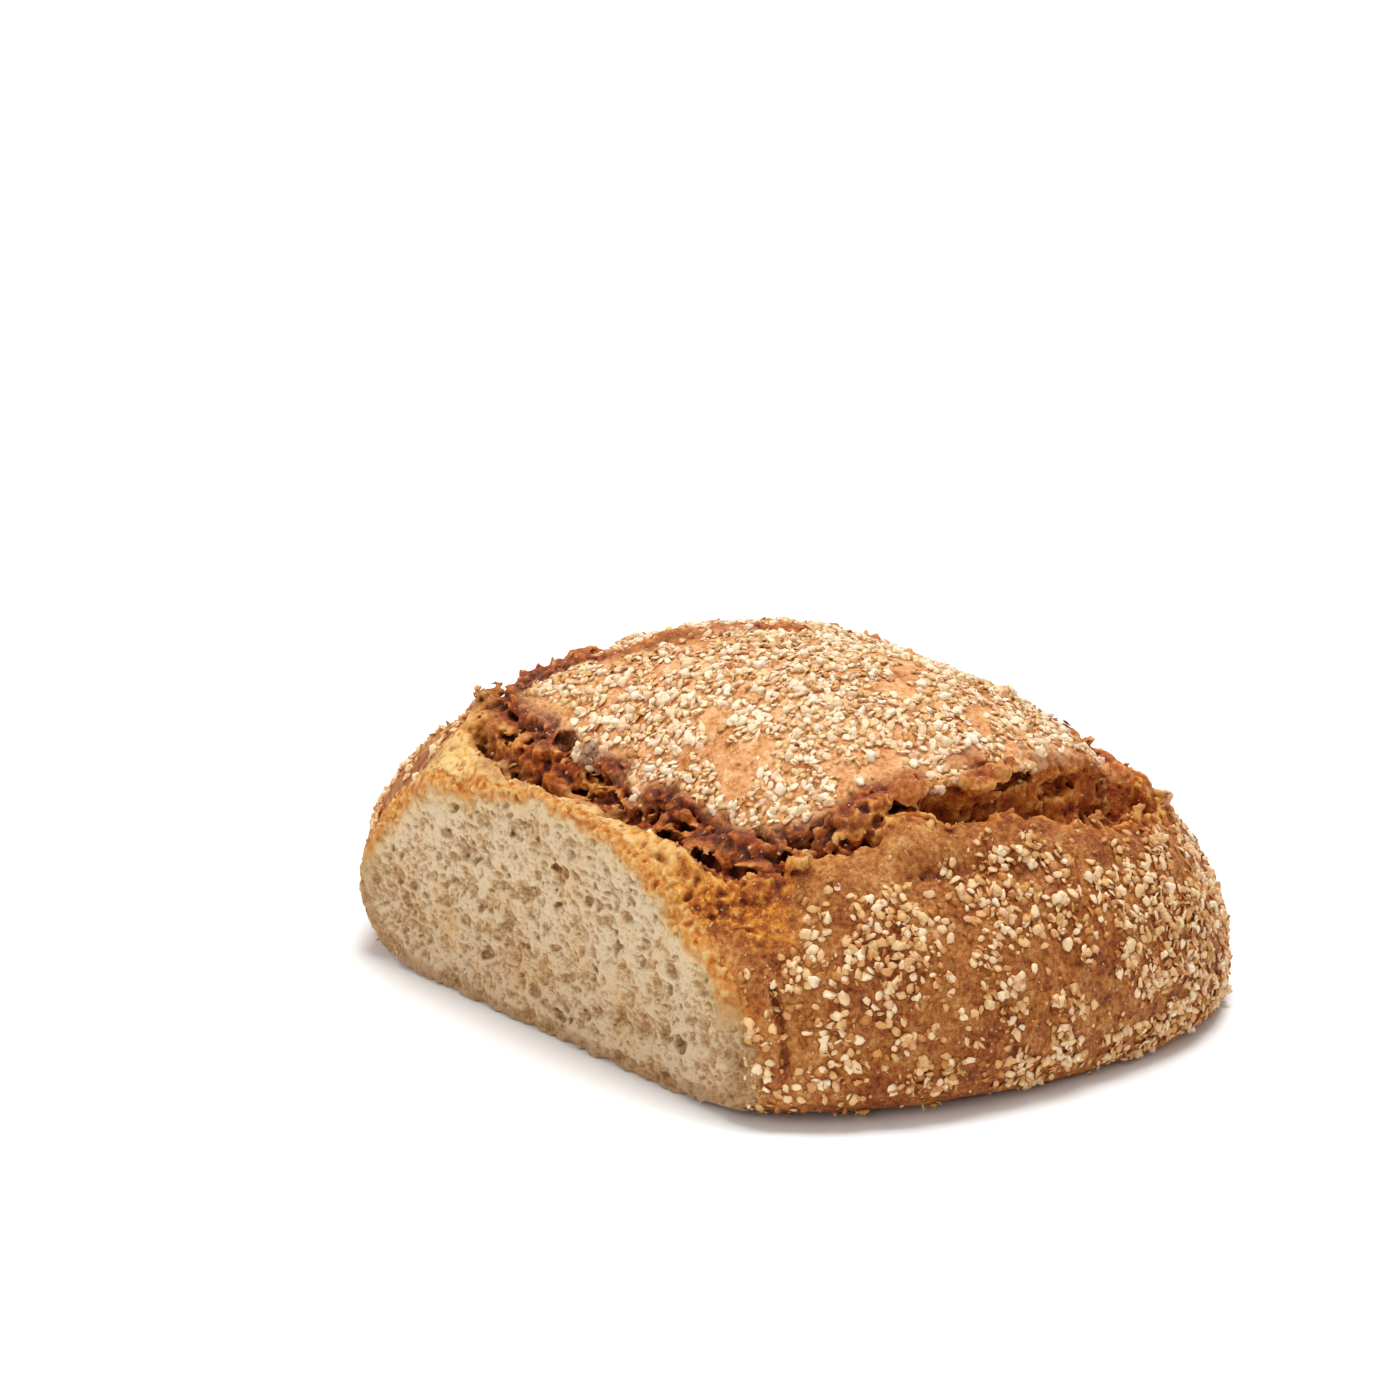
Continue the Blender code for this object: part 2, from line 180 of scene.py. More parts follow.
PLACED_RECESSES = (
    (-42, -80, 67.0, 7.0, 5.0, 2.6),
    (-8, -83, 70.0, 9.0, 5.0, 3.0),
    (12, -84, 65.0, 7.0, 5.0, 2.6),
    (31, -82, 61.0, 6.5, 5.0, 3.4),
    (-75, 11, 71.0, 4.0, 5.0, 3.0),
    (-81.5, -12, 62.2, 3.4, 6.0, 2.2),
    (-81.5, -27, 60.0, 3.4, 5.5, 2.4),
    (-81.5, -41, 57.6, 3.6, 6.0, 2.4),
    (-81, -54, 55.5, 3.6, 5.5, 2.4),
    (-78.5, -66, 53.8, 3.8, 4.5, 2.4),
    (-80, 27, 68.4, 3.0, 5.0, 2.0),
)
RECESS_ROUGHNESS = 0.8 * MM
# The lip of the shoulder's ridge that stands up in front of the lid, along X.
FRONT_LIP_X = np.array((-52, -47, -30, -12, 2)) * MM
FRONT_LIP_RISE = np.array((0, 7.5, 6.5, 3.5, 0)) * MM
FRONT_LIP_RADIUS = 3.4 * MM
FRONT_LIP_BACKING = 5.0 * MM
# The burnt crest that runs over the far side of the lid, in plan.
CREST_X = np.array((-68, -60, -55, -50, -47, -37, -25, -14, -4, -2)) * MM
CREST_Y = np.array((43, 42.5, 42, 36, 30, 27, 22, 20, 15, 8)) * MM
CREST = np.column_stack((CREST_X, CREST_Y))
# Dough that follows the rim and fills the groove or swells the cliff on the cut's side: how far outside
# the rim and below it, radius and fillet.
CUT_SIDE_FILL = (5.5 * MM, 11.0 * MM, 4.8 * MM, 4.0 * MM)
CORNER_FILL = (7.5 * MM, 12.0 * MM, 5.6 * MM, 4.5 * MM)
CLIFF_SWELL = (1.5 * MM, 7.0 * MM, 4.2 * MM, 3.0 * MM)
# Kinds of bubble in the crumb: count, smallest and largest radius in millimetres, the shares of the radius
# between which the middle lies behind the face (in front of it, where below 0), and how far it stays from
# the rim in millimetres.
CRUMB_BUBBLES = (
    (260, 0.45, 0.80, -0.90, -0.40, 0.5),
    (190, 0.80, 1.40, -0.95, -0.50, 1.0),
    (120, 1.20, 2.30, -0.95, -0.60, 4.0),
    (34, 1.40, 2.50, -0.70, -0.10, 5.0),
    (7, 1.90, 2.80, -0.40, 0.00, 5.5),
)
# The face's lumps and the crumb's nodules: height and size of the soft lumps, then of the creases between
# them, the octaves of the creases, and the seed.
CRUMB_LUMPS = (0.75 * MM, 5.5 * MM, 0.42 * MM, 3.4 * MM, 2, 43)
CRUMB_NODULES = (0.40 * MM, 1.3 * MM, 0.30 * MM, 1.8 * MM, 1, 51)
CRUMB_SETBACK = 1.1 * MM
PINHOLES = ((-48, -99, 55), (-25, -121, 23), (-9, -122, 17), (-19, -113, 43), (40, 108, 40), (92, 20, 30))
PINHOLE_RADIUS = 1.15
CRACK = ((-89.0, -90.8, 33.0), (-88.6, -94.5, 25.0), (-89.8, -96.8, 16.5))
CRACK_RADII = (1.1, 1.5, 1.8)
CRACK_STEPS = 7

# The edges of the zones of the crust, the crumb and the grains: where a zone starts, where it is full, and
# how far its edge wanders. Those named a share are shares of the gap between the rim and the ridge.
ZONE_EDGES = {
    "under_rim": (-2.0 * MM, -5.0 * MM, 1.6 * MM),
    "before_ridge_share": (1.40, 0.85, 0.35),
    "lid": (3.0 * MM, -0.5 * MM, 0),
    "crest": (6.0 * MM, 2.0 * MM, 3.0 * MM),
    "rim": (9.0 * MM, 3.0 * MM, 3.0 * MM),
    "tear_side": (-65.5 * MM, -74.5 * MM, 0),
    "tear_front_end": (-83 * MM, -70 * MM, 7 * MM),
    "tear_back_end": (56 * MM, 40 * MM, 7 * MM),
    "tear_foot": (36 * MM, 50 * MM, 3 * MM),
    "tear_share": (0.35, 0.90, 0),
    "slope_foot": (-4.5 * MM, -2.0 * MM, 0),
    "slope_depth": (13 * MM, 9 * MM, 2 * MM),
    "slope_front_end": (-95 * MM, -85 * MM, 0),
    "slope_back_end": (52 * MM, 42 * MM, 0),
    "corner_depth": (14 * MM, 3 * MM, 0),
    "corner_side": (-60 * MM, -75 * MM, 0),
    "corner_foot": (18 * MM, 34 * MM, 0),
    "front_patch": (10 * MM, 4 * MM, 4 * MM),
    "front_patch_foot": (36 * MM, 46 * MM, 0),
    "ridge": (8.0 * MM, 1.0 * MM, 0),
    "ridge_foot": (-12 * MM, -3 * MM, 0),
    "groove_share": (0.80, 0.45, 0),
    "groove_top": (3.5 * MM, -1.5 * MM, 0),
    "groove_inside": (-6 * MM, -1 * MM, 0),
    "fine": (0, 3 * MM, 0),
    "golden_depth": (15 * MM, 3 * MM, 3 * MM),
    "golden_end": (-56 * MM, -12 * MM, 0),
    "browned_corner": (-50 * MM, -72 * MM, 0),
    # The cut's side, where the torn and rim browns get painted shade.
    "cut_side_shade": (-45 * MM, -63 * MM, 0),
    "ash": (6 * MM, 3 * MM, 0),
    "crumb_gold": (6.0 * MM, 0.4 * MM, 0),
    "crumb_gold_foot": (12 * MM, 32 * MM, 0),
    "crumb_tan": (6.5 * MM, 2.5 * MM, 0),
    "crumb_tan_top": (40 * MM, 12 * MM, 0),
    # The crumb's foot, darkened with tan as painted shade.
    "crumb_foot_shade": (40 * MM, 8 * MM, 0),
    "grain_foot": (22 * MM, 6 * MM, 0),
    "grain_end": (35 * MM, 75 * MM, 0),
    "grain_front": (-55 * MM, -80 * MM, 0),
    "grain_front_end": (55 * MM, 35 * MM, 0),
    "grain_above_floor": (0.6 * MM, 2.5 * MM, 0),
    "grain_behind_cut": (0.2 * MM, 2.0 * MM, 0),
}
FRONT_PATCH = (-82 * MM, -80 * MM)
CREST_FLOOR = 60 * MM
# How far the crust stands out from the smooth form, in millimetres: swells all over it as height, size and
# seed, and then what each zone adds in lumps, lobes, crags and tips, with the sizes of those four.
SWELLS = ((0.80, 32, 1), (0.34, 9, 3), (0.20, 3.6, 5))
LUMP_SIZE, LOBE_SIZE, CRAG_SIZE, TIP_SIZE = 12 * MM, 7.5 * MM, 3.0 * MM, 1.6 * MM
ZONE_RELIEF = {
    "torn": (2.1, 1.4, 0.7, 0.5),
    "rim": (1.3, 1.2, 0.6, 0.4),
    "tear": (0.9, 0.4, 0.5, 0.8),
    "ridge": (1.0, 0.9, 1.1, 0.5),
    "crest": (1.3, 0.0, 0.0, 0.0),
}
GROOVE_DEPTH = 0.8 * MM

# Where grain clusters lie on the front and round the front corners: centre and size in millimetres.
GRAIN_CLUSTERS = (
    (-64, -99, 50, 5), (-59, -99, 52, 4), (-58, -104, 47, 5), (-52, -108, 45, 5), (-70, -102, 40, 5),
    (-67, -106, 37, 4), (-57, -108, 41, 4), (-81, -88, 44, 5), (-76, -90, 47, 4), (-81, -94, 38, 4),
    (-80, -101, 29, 5), (-69, -109, 27, 2), (-89, -94, 27, 2), (-85, -93, 34, 2), (-27, -100, 55, 4),
    (-28, -106, 51, 4), (-37, -106, 49, 5), (-30, -111, 45, 5), (-26, -113, 42, 4), (-39, -112, 42, 3),
    (-32, -114, 40, 3), (-41, -114, 38, 3), (-20, -108, 49, 2), (-16, -112, 45, 3), (-41, -117, 30, 4),
    (-12, -116, 39, 3), (-10, -118, 33, 2), (-19, -121, 23, 5), (-50, -116, 27, 2), (-47, -118, 26, 2),
    (-35, -120, 24, 2), (-60, -114, 23, 2), (-64, -113, 21, 3), (-47, -118, 20, 2), (-72, -110, 17, 3),
    (-80, -104, 21, 4), (-83, -103, 13, 4), (-94, -92, 14, 3), (-95, -93, 9, 2), (-77, -107, 9, 2),
    (-62, -114, 12, 4), (-56, -116, 10, 4), (-52, -118, 13, 2), (-68, -112, 9, 2), (-35, -120, 10, 5),
    (-27, -119, 6, 4), (-22, -122, 14, 5), (-17, -121, 8, 4), (-2, -121, 11, 4), (-2, -118, 4, 4),
    (9, -117, 3, 4), (2, -111, 47, 5), (16, -109, 47, 6), (19, -113, 41, 7), (5, -115, 40, 5),
    (23, -115, 34, 7), (35, -110, 35, 6), (34, -114, 25, 8), (21, -118, 24, 7), (10, -120, 22, 4),
    (32, -116, 14, 7), (21, -118, 11, 5), (14, -119, 8, 4), (4, -119, 31, 4), (-16, -99, 57, 4),
    (-39, -97, 56, 2), (-41, -96, 57, 2), (-23, -84, 57, 4), (-11, -104, 54, 4), (30, -102, 51, 5),
    (-96, -80, 34, 3), (-95, -83, 31, 2), (-96, -84, 27, 2), (-96, -73, 42, 2), (-91, -79, 42, 1),
    (-93, -91, 23, 3), (-67, -109, 31, 3), (-61, -111, 32, 3), (-54, -113, 33, 3), (-12, -122, 15, 2),
    (50, -105, 40, 9), (55, -105, 20, 10), (62, -98, 32, 9), (-97, -88, 13, 3), (-97, -84, 6, 2),
)
SEED = 11

# How grains cover the crust: the size of their clumps, and the clump values from bare to full cover.
CLUMP_SIZE = 15 * MM
CLUMP_DETAIL = 5.5 * MM
LID_COVER = (-0.75, 0.05)
LID_COVER_TO_END = 5.0
WALL_COVER = (0.05, 0.80)
FOOT_COVER = 0.45
END_COVER = 0.75
# For each kind: the density where it starts and where it is full, its density everywhere, the least
# distance between two, and the count.
GRAIN_SPREAD = {
    "popped_grains": (0.25, 0.80, 0.0, 2.2 * MM, 1180),
    "rolled_flakes": (0.10, 0.70, 0.0, 1.6 * MM, 4000),
    "husks": (0.02, 0.60, 0.01, 1.3 * MM, 3900),
    "grain_crumbs": (0.0, 0.50, 0.10, 0.9 * MM, 4300),
}

# The finishes. Colours are red, green and blue from 0 to 255, and in a ramp each follows its place.
# Hollows reach the darker stops of the crust's ramps: painted shade.
WALL_BROWNS = (
    (0.34, 88, 36, 9), (0.44, 132, 68, 23), (0.52, 161, 93, 37),
    (0.62, 184, 122, 62), (0.76, 214, 164, 102),
)
LID_TANS = (0.32, 160, 86, 36), (0.42, 200, 132, 72), (0.53, 226, 166, 108), (0.68, 246, 204, 154)
RIM_BROWNS = (
    (0.20, 46, 11, 1), (0.38, 104, 40, 7), (0.54, 152, 72, 21),
    (0.70, 188, 106, 44), (0.88, 224, 156, 90),
)
TORN_ORANGES = (
    (0.16, 64, 16, 0), (0.32, 124, 48, 3), (0.47, 168, 80, 14),
    (0.63, 204, 114, 34), (0.82, 238, 174, 88),
)
TEAR_GOLDS = (
    (0.20, 104, 42, 4), (0.34, 166, 86, 20), (0.46, 220, 138, 46),
    (0.58, 247, 181, 80), (0.76, 254, 214, 142),
)
ASH_GREY = (176, 162, 148)
# Flour dust and painted glints: white specks on the crust.
FLOUR_AND_GLINT_WHITE = (246, 226, 190)
BRAN_BROWN = (128, 62, 26)
BROWNED, BURNT = (205, 140, 92), (78, 36, 18)
CRUMB_CREAMS = (0.15, 134, 92, 52), (0.34, 174, 135, 92), (0.52, 207, 167, 121), (0.74, 242, 215, 176)
CRUMB_WARMTH = (250, 228, 190)
CRUMB_SPOT = (214, 184, 96)
RIM_GLOW = (250, 214, 140)
CRUMB_GOLDS = (0.36, 242, 202, 134), (0.50, 234, 164, 80), (0.66, 200, 104, 36)
CRUMB_TANS_AND_SHADE = (0.38, 140, 90, 46), (0.62, 204, 156, 102)
GRAIN_TONES = {
    "popped_grain": ((0.10, 216, 168, 106), (0.35, 238, 204, 154), (0.90, 252, 238, 212)),
    "rolled_flake": ((0.05, 204, 140, 74), (0.30, 234, 190, 130), (0.80, 252, 231, 196)),
    "husk": ((0.05, 156, 84, 30), (0.35, 214, 148, 74), (0.90, 246, 212, 150)),
    "grain_crumb": ((0.05, 150, 72, 26), (0.30, 206, 132, 62), (0.60, 232, 192, 134), (0.95, 250, 238, 214)),
}
SKY_STRENGTH = 0.46
FLOOR_REACH = 9.0
# The lights: where each one comes from, its strength, and its spread in degrees.
LIGHTS = {"key_light": ((0.18, 0.12, 1.0), 2.80, 30), "fill_light": ((-1.0, -0.20, 0.55), 0.76, 50)}

# The camera.
VIEW_ELEVATION = math.radians(14.31)
VIEW_AZIMUTH = math.radians(-38.07)
VIEW_DISTANCE = 0.9505
VIEW_TARGET = Vector((0.0168, 0.0557, 0.0600)) - Vector(MIDDLE)
LENS = 85.0
SENSOR = 36.0


# ---------------------------------------------------------------- random fields


RANDOM_TABLE = np.random.default_rng(SEED).uniform(-1, 1, 64**3).astype(np.float32)


def smooth_noise(points, size, seed):
    """Smooth random values between -1 and 1 that change over the given size."""
    place = points.astype(np.float32) / np.float32(size) + np.float32(seed * 7.31)
    cell = np.floor(place)
    t = place - cell
    t = t * t * t * (t * (t * 6 - 15) + 10)
    cell = cell.astype(np.int32)
    low, high = (cell & 63).T, ((cell + 1) & 63).T
    slabs = []
    for i in (low[0], high[0]):
        rows = []
        for j in (low[1], high[1]):
            row = (i * 64 + j) * 64
            first = RANDOM_TABLE[row + low[2]]
            rows.append(first + (RANDOM_TABLE[row + high[2]] - first) * t[:, 2])
        slabs.append(rows[0] + (rows[1] - rows[0]) * t[:, 1])
    return slabs[0] + (slabs[1] - slabs[0]) * t[:, 0]


def fractal(points, size, octaves, seed):
    """Smooth noise with finer and weaker noise on top."""
    total = 0.0
    for octave in range(octaves):
        total = total + smooth_noise(points, size / 2.1**octave, seed + 7 * octave) / 2**octave
    return total


def creased(points, size, octaves, seed):
    """Noise with sharp crests, about level on average."""
    return 0.55 - 2 * np.abs(fractal(points, size, octaves, seed))


def step_between(low, high, value):
    """Rises smoothly from 0 at low to 1 at high; falls if low is the larger."""
    t = np.clip((value - low) / (high - low), 0, 1)
    return t * t * (3 - 2 * t)


# ---------------------------------------------------------------- the form


def signed_power(value, exponent):
    return np.copysign(np.abs(value) ** exponent, value)


def around(angle, eight):
    """A smooth closed curve through eight values, one for each eighth of a turn."""
    place = (angle / (math.pi / 4)) % 8
    start = np.floor(place).astype(int)
    t = place - start
    a, b, c, d = (np.take(eight, (start + step) % 8) for step in (-1, 0, 1, 2))
    return b + 0.5 * t * (c - a + t * (2 * a - 5 * b + 4 * c - d + t * (3 * (b - c) + d - a)))


def outer_line(angle):
    """The loaf's widest line in plan: an uneven rounded square."""
    power = 2 / OUTLINE_SQUARENESS
    side_reach = np.where(np.sin(angle) > 0, BACK_REACH, FRONT_REACH)
    x = END_REACH * signed_power(np.cos(angle), power)
    y = side_reach * signed_power(np.sin(angle), power)
    return np.stack((x, y, 0 * x), axis=-1) * around(angle, OUTLINE_SHARE)[:, None]


def lid_rim(angle):
    """The lid's rim: a square with rounded corners at four heights, and sides that lift and bow."""
    u = signed_power(np.cos(angle), 2 / LID_SQUARENESS)[:, None]
    v = signed_power(np.sin(angle), 2 / LID_SQUARENESS)[:, None]
    rim = (
        (1 + u) * (1 + v) / 4 * LID_END_BACK
        + (1 - u) * (1 + v) / 4 * LID_CUT_BACK
        + (1 - u) * (1 - v) / 4 * LID_CUT_FRONT
        + (1 + u) * (1 - v) / 4 * LID_END_FRONT
    )
    u, v = u[:, 0], v[:, 0]
    on_cut_or_end_side = np.abs(u) > np.abs(v)
    along = np.where(on_cut_or_end_side, 1 - v * v, 1 - u * u)
    rim[:, 2] += along * around(angle, LID_SIDE_LIFT)
    bow = along * around(angle, LID_SIDE_BOW)
    rim[:, 0] += np.where(on_cut_or_end_side, np.copysign(bow, u), 0)
    rim[:, 1] += np.where(on_cut_or_end_side, 0, np.copysign(bow, v))
    return rim


def lid_centre():
    return (LID_END_BACK + LID_CUT_BACK + LID_CUT_FRONT + LID_END_FRONT) / 4


def ridge_height(angle):
    """The shoulder's ridge, which swells up where it pushes against the lid's front side."""
    off = (angle % math.tau - FRONT_HUMP_ANGLE) / FRONT_HUMP_WIDTH
    return around(angle, RIDGE_HEIGHT) + FRONT_HUMP_RISE * np.exp(-off * off)


def loaf_rings():
    """The loaf's rings, from the floor to just short of the lid's crown."""
    angle = np.arange(AROUND_STEPS) / AROUND_STEPS * math.tau
    outer = outer_line(angle)
    rim = lid_rim(angle)
    centre = lid_centre()
    flat_rim = rim * (1, 1, 0)
    outward = (rim - centre) * (1, 1, 0)
    outward /= np.linalg.norm(outward, axis=1, keepdims=True)
    foot = around(angle, FOOT_SHARE)[:, None]
    widest = around(angle, WIDEST_HEIGHT)[:, None]
    ridge_z = ridge_height(angle)[:, None]
    gap = around(angle, RIDGE_GAP)[:, None]
    rings = []
    for step in range(FOOT_STEPS):
        t = step / FOOT_STEPS * math.pi / 2
        rings.append(outer * (foot + (1 - foot) * math.sin(t)) + UP * widest * (1 - math.cos(t)))
    ridge = flat_rim + outward * gap
    for step in range(WALL_STEPS + 1):
        t = step / WALL_STEPS * math.pi / 2
        inwards = max(0.0, math.cos(t)) ** (2 / around(angle, WALL_LEAN))[:, None]
        rise = math.sin(t) ** (2 / around(angle, WALL_FULLNESS))[:, None]
        rings.append(ridge + (outer - ridge) * inwards + UP * (widest + (ridge_z - widest) * rise))
    rings.append(flat_rim + outward * gap * LIP_SHARE + UP * (ridge_z - LIP_DROP))
    valley = ridge_z - VALLEY_DROP
    rings.append(flat_rim + outward * gap * VALLEY_SHARE + UP * valley)
    for share, undercut in CLIFF_STEPS:
        height = valley + (rim[:, 2:] - valley) * share
        rings.append(flat_rim - outward * CLIFF_UNDERCUT * undercut + UP * height)
    for t in LID_STEPS:
        inner = rim + (centre - rim) * t
        inner[:, 2] = rim[:, 2] + (LID_CROWN - rim[:, 2]) * (1 - (1 - t) ** 2)
        rings.append(inner)
    return np.array(rings) - MIDDLE


def loaf_form():
    """The closed smooth form as points, triangles and quads, with a spare foot to cut flat."""
    rings = loaf_rings()
    rings = np.vstack((rings[:1] - UP * FOOT_SPARE, rings))
    count = rings.shape[0]
    crown = np.array((lid_centre()[0], lid_centre()[1], LID_CROWN)) - MIDDLE
    points = np.vstack((rings.reshape(-1, 3), [crown, -MIDDLE - UP * FOOT_SPARE]))
    here = np.arange(AROUND_STEPS)
    there = (here + 1) % AROUND_STEPS
    quads = []
    for ring in range(count - 1):
        low, high = ring * AROUND_STEPS, (ring + 1) * AROUND_STEPS
        quads.append(np.stack((low + here, low + there, high + there, high + here), axis=1))
    top, foot = np.full_like(here, len(points) - 2), np.full_like(here, len(points) - 1)
    last = (count - 1) * AROUND_STEPS
    triangles = np.vstack((np.stack((last + here, last + there, top), 1), np.stack((there, here, foot), 1)))
    return points.astype(np.float32), triangles.astype(np.uint32), np.vstack(quads).astype(np.uint32)


class RimPlan:
    """For a point in plan: how far outside the lid's rim it lies, and the heights and gap there."""

    def __init__(self):
        angle = np.arange(RIM_STEPS) / RIM_STEPS * math.tau
        self.rim = lid_rim(angle) - MIDDLE
        outward = (self.rim - (lid_centre() - MIDDLE))[:, :2]
        outward /= np.linalg.norm(outward, axis=1, keepdims=True)
        self.outward = np.column_stack((outward, np.zeros(RIM_STEPS)))
        along = self.rim[:, :2] + outward * around(angle, RIDGE_GAP)[:, None]
        self.ridge = np.column_stack((along, ridge_height(angle)))
        self.low = np.array(PLAN_LOW)
        self.shape = PLAN_SHAPE
        cells = np.indices(self.shape).reshape(2, -1).T * PLAN_CELL + self.low
        off = cells[:, None] - self.rim[None, :, :2]
        apart = np.einsum("ijk,ijk->ij", off, off)
        near = apart.argmin(axis=1)
        rows = np.arange(len(cells))
        side = np.einsum("ij,ij->i", off[rows, near], outward[near])
        out = np.copysign(np.sqrt(apart[rows, near]), side)
        layers = (out, self.rim[near, 2], ridge_height(angle)[near], around(angle, RIDGE_GAP)[near])
        self.layers = np.stack(layers, axis=-1).reshape(*self.shape, 4)

    def look(self, points):
        """(distance outside the rim, rim height, ridge height, gap) at each point."""
        place = (points[:, :2] - self.low) / PLAN_CELL
        place = np.clip(place, 0, np.array(self.shape) - 1.001)
        cell = place.astype(int)
        t = place - cell
        total = 0
        for i, j in product((0, 1), repeat=2):
            weight = np.abs(1 - i - t[:, 0]) * np.abs(1 - j - t[:, 1])
            total = total + self.layers[cell[:, 0] + i, cell[:, 1] + j] * weight[:, None]
        return total.T


# ---------------------------------------------------------------- blocks of distances


class Block:
    """Signed distances to a surface, negative inside, in a block of small cubes."""

    def __init__(self, low, high, cell, reach):
        self.cell = cell
        self.reach = reach
        self.first = np.floor(np.array(low) / cell).astype(int)
        shape = np.ceil(np.array(high) / cell).astype(int) - self.first + 1
        self.values = np.full(shape, reach, np.float32)

    def corner(self):
        return tuple(int(value) for value in self.first)

    def fill_from_form(self, points, triangles, quads):
        space = openvdb.createLinearTransform(voxelSize=self.cell)
        grid = openvdb.FloatGrid.createLevelSetFromPolygons(
            points, triangles=triangles, quads=quads, transform=space, halfWidth=self.reach / self.cell
        )
        grid.copyToArray(self.values, ijk=self.corner())

    def near(self, reach):
        """The indices of the cubes close to the surface, and their places."""
        found = np.nonzero(np.abs(self.values) < reach)
        return found, (np.stack(found, axis=1) + self.first).astype(np.float32) * np.float32(self.cell)

    def axes(self):
        """The places of the cubes along X, Y and Z, each in its own direction of the block."""
        sizes = zip(self.values.shape, self.first)
        places = [(np.arange(size) + first) * self.cell for size, first in sizes]
        return np.meshgrid(*places, indexing="ij", sparse=True)

    def all_places(self):
        return (np.indices(self.values.shape).reshape(3, -1).T + self.first) * self.cell

    def sample(self, points, values=None):
        """The block's values, or other values kept in the same cubes, at any points."""
        values = self.values if values is None else values
        place = np.clip(points / self.cell - self.first, 0, np.array(values.shape) - 1.001)
        cell = place.astype(int)
        t = place - cell
        total = 0
        for i, j, k in product((0, 1), repeat=3):
            weight = np.abs(1 - i - t[:, 0]) * np.abs(1 - j - t[:, 1]) * np.abs(1 - k - t[:, 2])
            total = total + values[cell[:, 0] + i, cell[:, 1] + j, cell[:, 2] + k] * weight
        return total

    def hollowness(self, points, reach):
        """0 on a sharp crest, 0.5 on a flat, 1 deep in a hollow, judged over the given reach."""
        steps = max(1, round(reach / self.cell))
        share = np.pad((self.values < 0).astype(np.float32), steps + 1, mode="edge")
        for axis in range(3):
            total = np.cumsum(share, axis=axis)
            share = (np.roll(total, -steps, axis) - np.roll(total, steps + 1, axis)) / (2 * steps + 1)
        inside = slice(steps + 1, -steps - 1)
        return np.clip((self.sample(points, share[inside, inside, inside]) - 0.5) * 2 + 0.5, 0, 1)

    def window(self, centre, reach):
        """The part of the block round a centre, as slices and the places in it relative to the centre."""
        low = np.floor((centre - reach) / self.cell).astype(int) - self.first
        high = np.ceil((centre + reach) / self.cell).astype(int) - self.first + 1
        low, high = np.maximum(low, 0), np.maximum(np.minimum(high, self.values.shape), 0)
        slices = tuple(slice(a, b) for a, b in zip(low, high))
        ends = zip(low, high, self.first, centre)
        axes = [(np.arange(a, b) + first) * self.cell - middle for a, b, first, middle in ends]
        return slices, np.meshgrid(*axes, indexing="ij", sparse=True)

    def hollow(self, centre, radii, lean=0.0, roughness=0.0):
        """Takes out an ellipsoid that may lean in the plane of the cut face and have rough sides."""
        slices, (x, y, z) = self.window(centre, max(radii) * (1 + abs(lean)) + 2 * self.cell)
        size = np.sqrt((x / radii[0]) ** 2 + ((y + z * lean) / radii[1]) ** 2 + (z / radii[2]) ** 2)
        outside = (size - 1) * min(radii)
        if roughness:
            places = np.stack(np.broadcast_arrays(x, y, z), axis=-1).reshape(-1, 3) + centre
            outside += roughness * creased(places, 3.0 * MM, 2, 97).reshape(outside.shape)
        self.values[slices] = np.maximum(self.values[slices], -outside)

    def add_bar(self, start, end, start_radius, end_radius, blend):
        """Fuses a tapered bar with round ends, with a fillet of the given size."""
        middle, along = (start + end) / 2, end - start
        length = np.linalg.norm(along)
        slices, (x, y, z) = self.window(middle, length / 2 + start_radius + 2 * blend)
        along = along / max(length, 1e-9)
        t = np.clip(x * along[0] + y * along[1] + z * along[2], -length / 2, length / 2)
        aside = np.sqrt((x - t * along[0]) ** 2 + (y - t * along[1]) ** 2 + (z - t * along[2]) ** 2)
        share = t / max(length, 1e-9) + 0.5
        bar = aside - (start_radius + (end_radius - start_radius) * share)
        here = self.values[slices]
        near = np.clip(0.5 + (here - bar) / blend / 2, 0, 1)
        self.values[slices] = here * (1 - near) + bar * near - blend * near * (1 - near)

    def surface(self):
        """The surface as points and triangles that face outwards."""
        grid = openvdb.FloatGrid(self.reach)
        grid.transform = openvdb.createLinearTransform(voxelSize=self.cell)
        grid.gridClass = openvdb.GridClass.LEVEL_SET
        grid.copyFromArray(np.clip(self.values, -self.reach, self.reach), ijk=self.corner())
        points, triangles, quads = grid.convertToPolygons(isovalue=0.0, adaptivity=0.0)
        halves = np.vstack((quads[:, (0, 2, 1)], quads[:, (0, 3, 2)]))
        return points.astype(np.float64), np.vstack((triangles[:, ::-1], halves)).astype(np.int64)


# ---------------------------------------------------------------- meshes


def corner_normals(points, triangles):
    a, b, c = (points[triangles[:, k]] for k in range(3))
    flat = np.cross(b - a, c - a)
    normals = np.zeros_like(points)
    for k in range(3):
        for axis in range(3):
            normals[:, axis] += np.bincount(triangles[:, k], flat[:, axis], len(points))
    return normals / np.maximum(np.linalg.norm(normals, axis=1, keepdims=True), 1e-12)


def largest_body(points, triangles):
    """Drops loose scraps and keeps the triangles of the biggest body."""
    label = np.arange(len(points))
    while True:
        smallest = label[triangles].min(axis=1)
        after = label.copy()
        for k in range(3):
            np.minimum.at(after, triangles[:, k], smallest)
        after = after[after]
        if np.array_equal(after, label):
            break
        label = after
    counts = np.bincount(label[triangles[:, 0]])
    return triangles[label[triangles[:, 0]] == counts.argmax()]


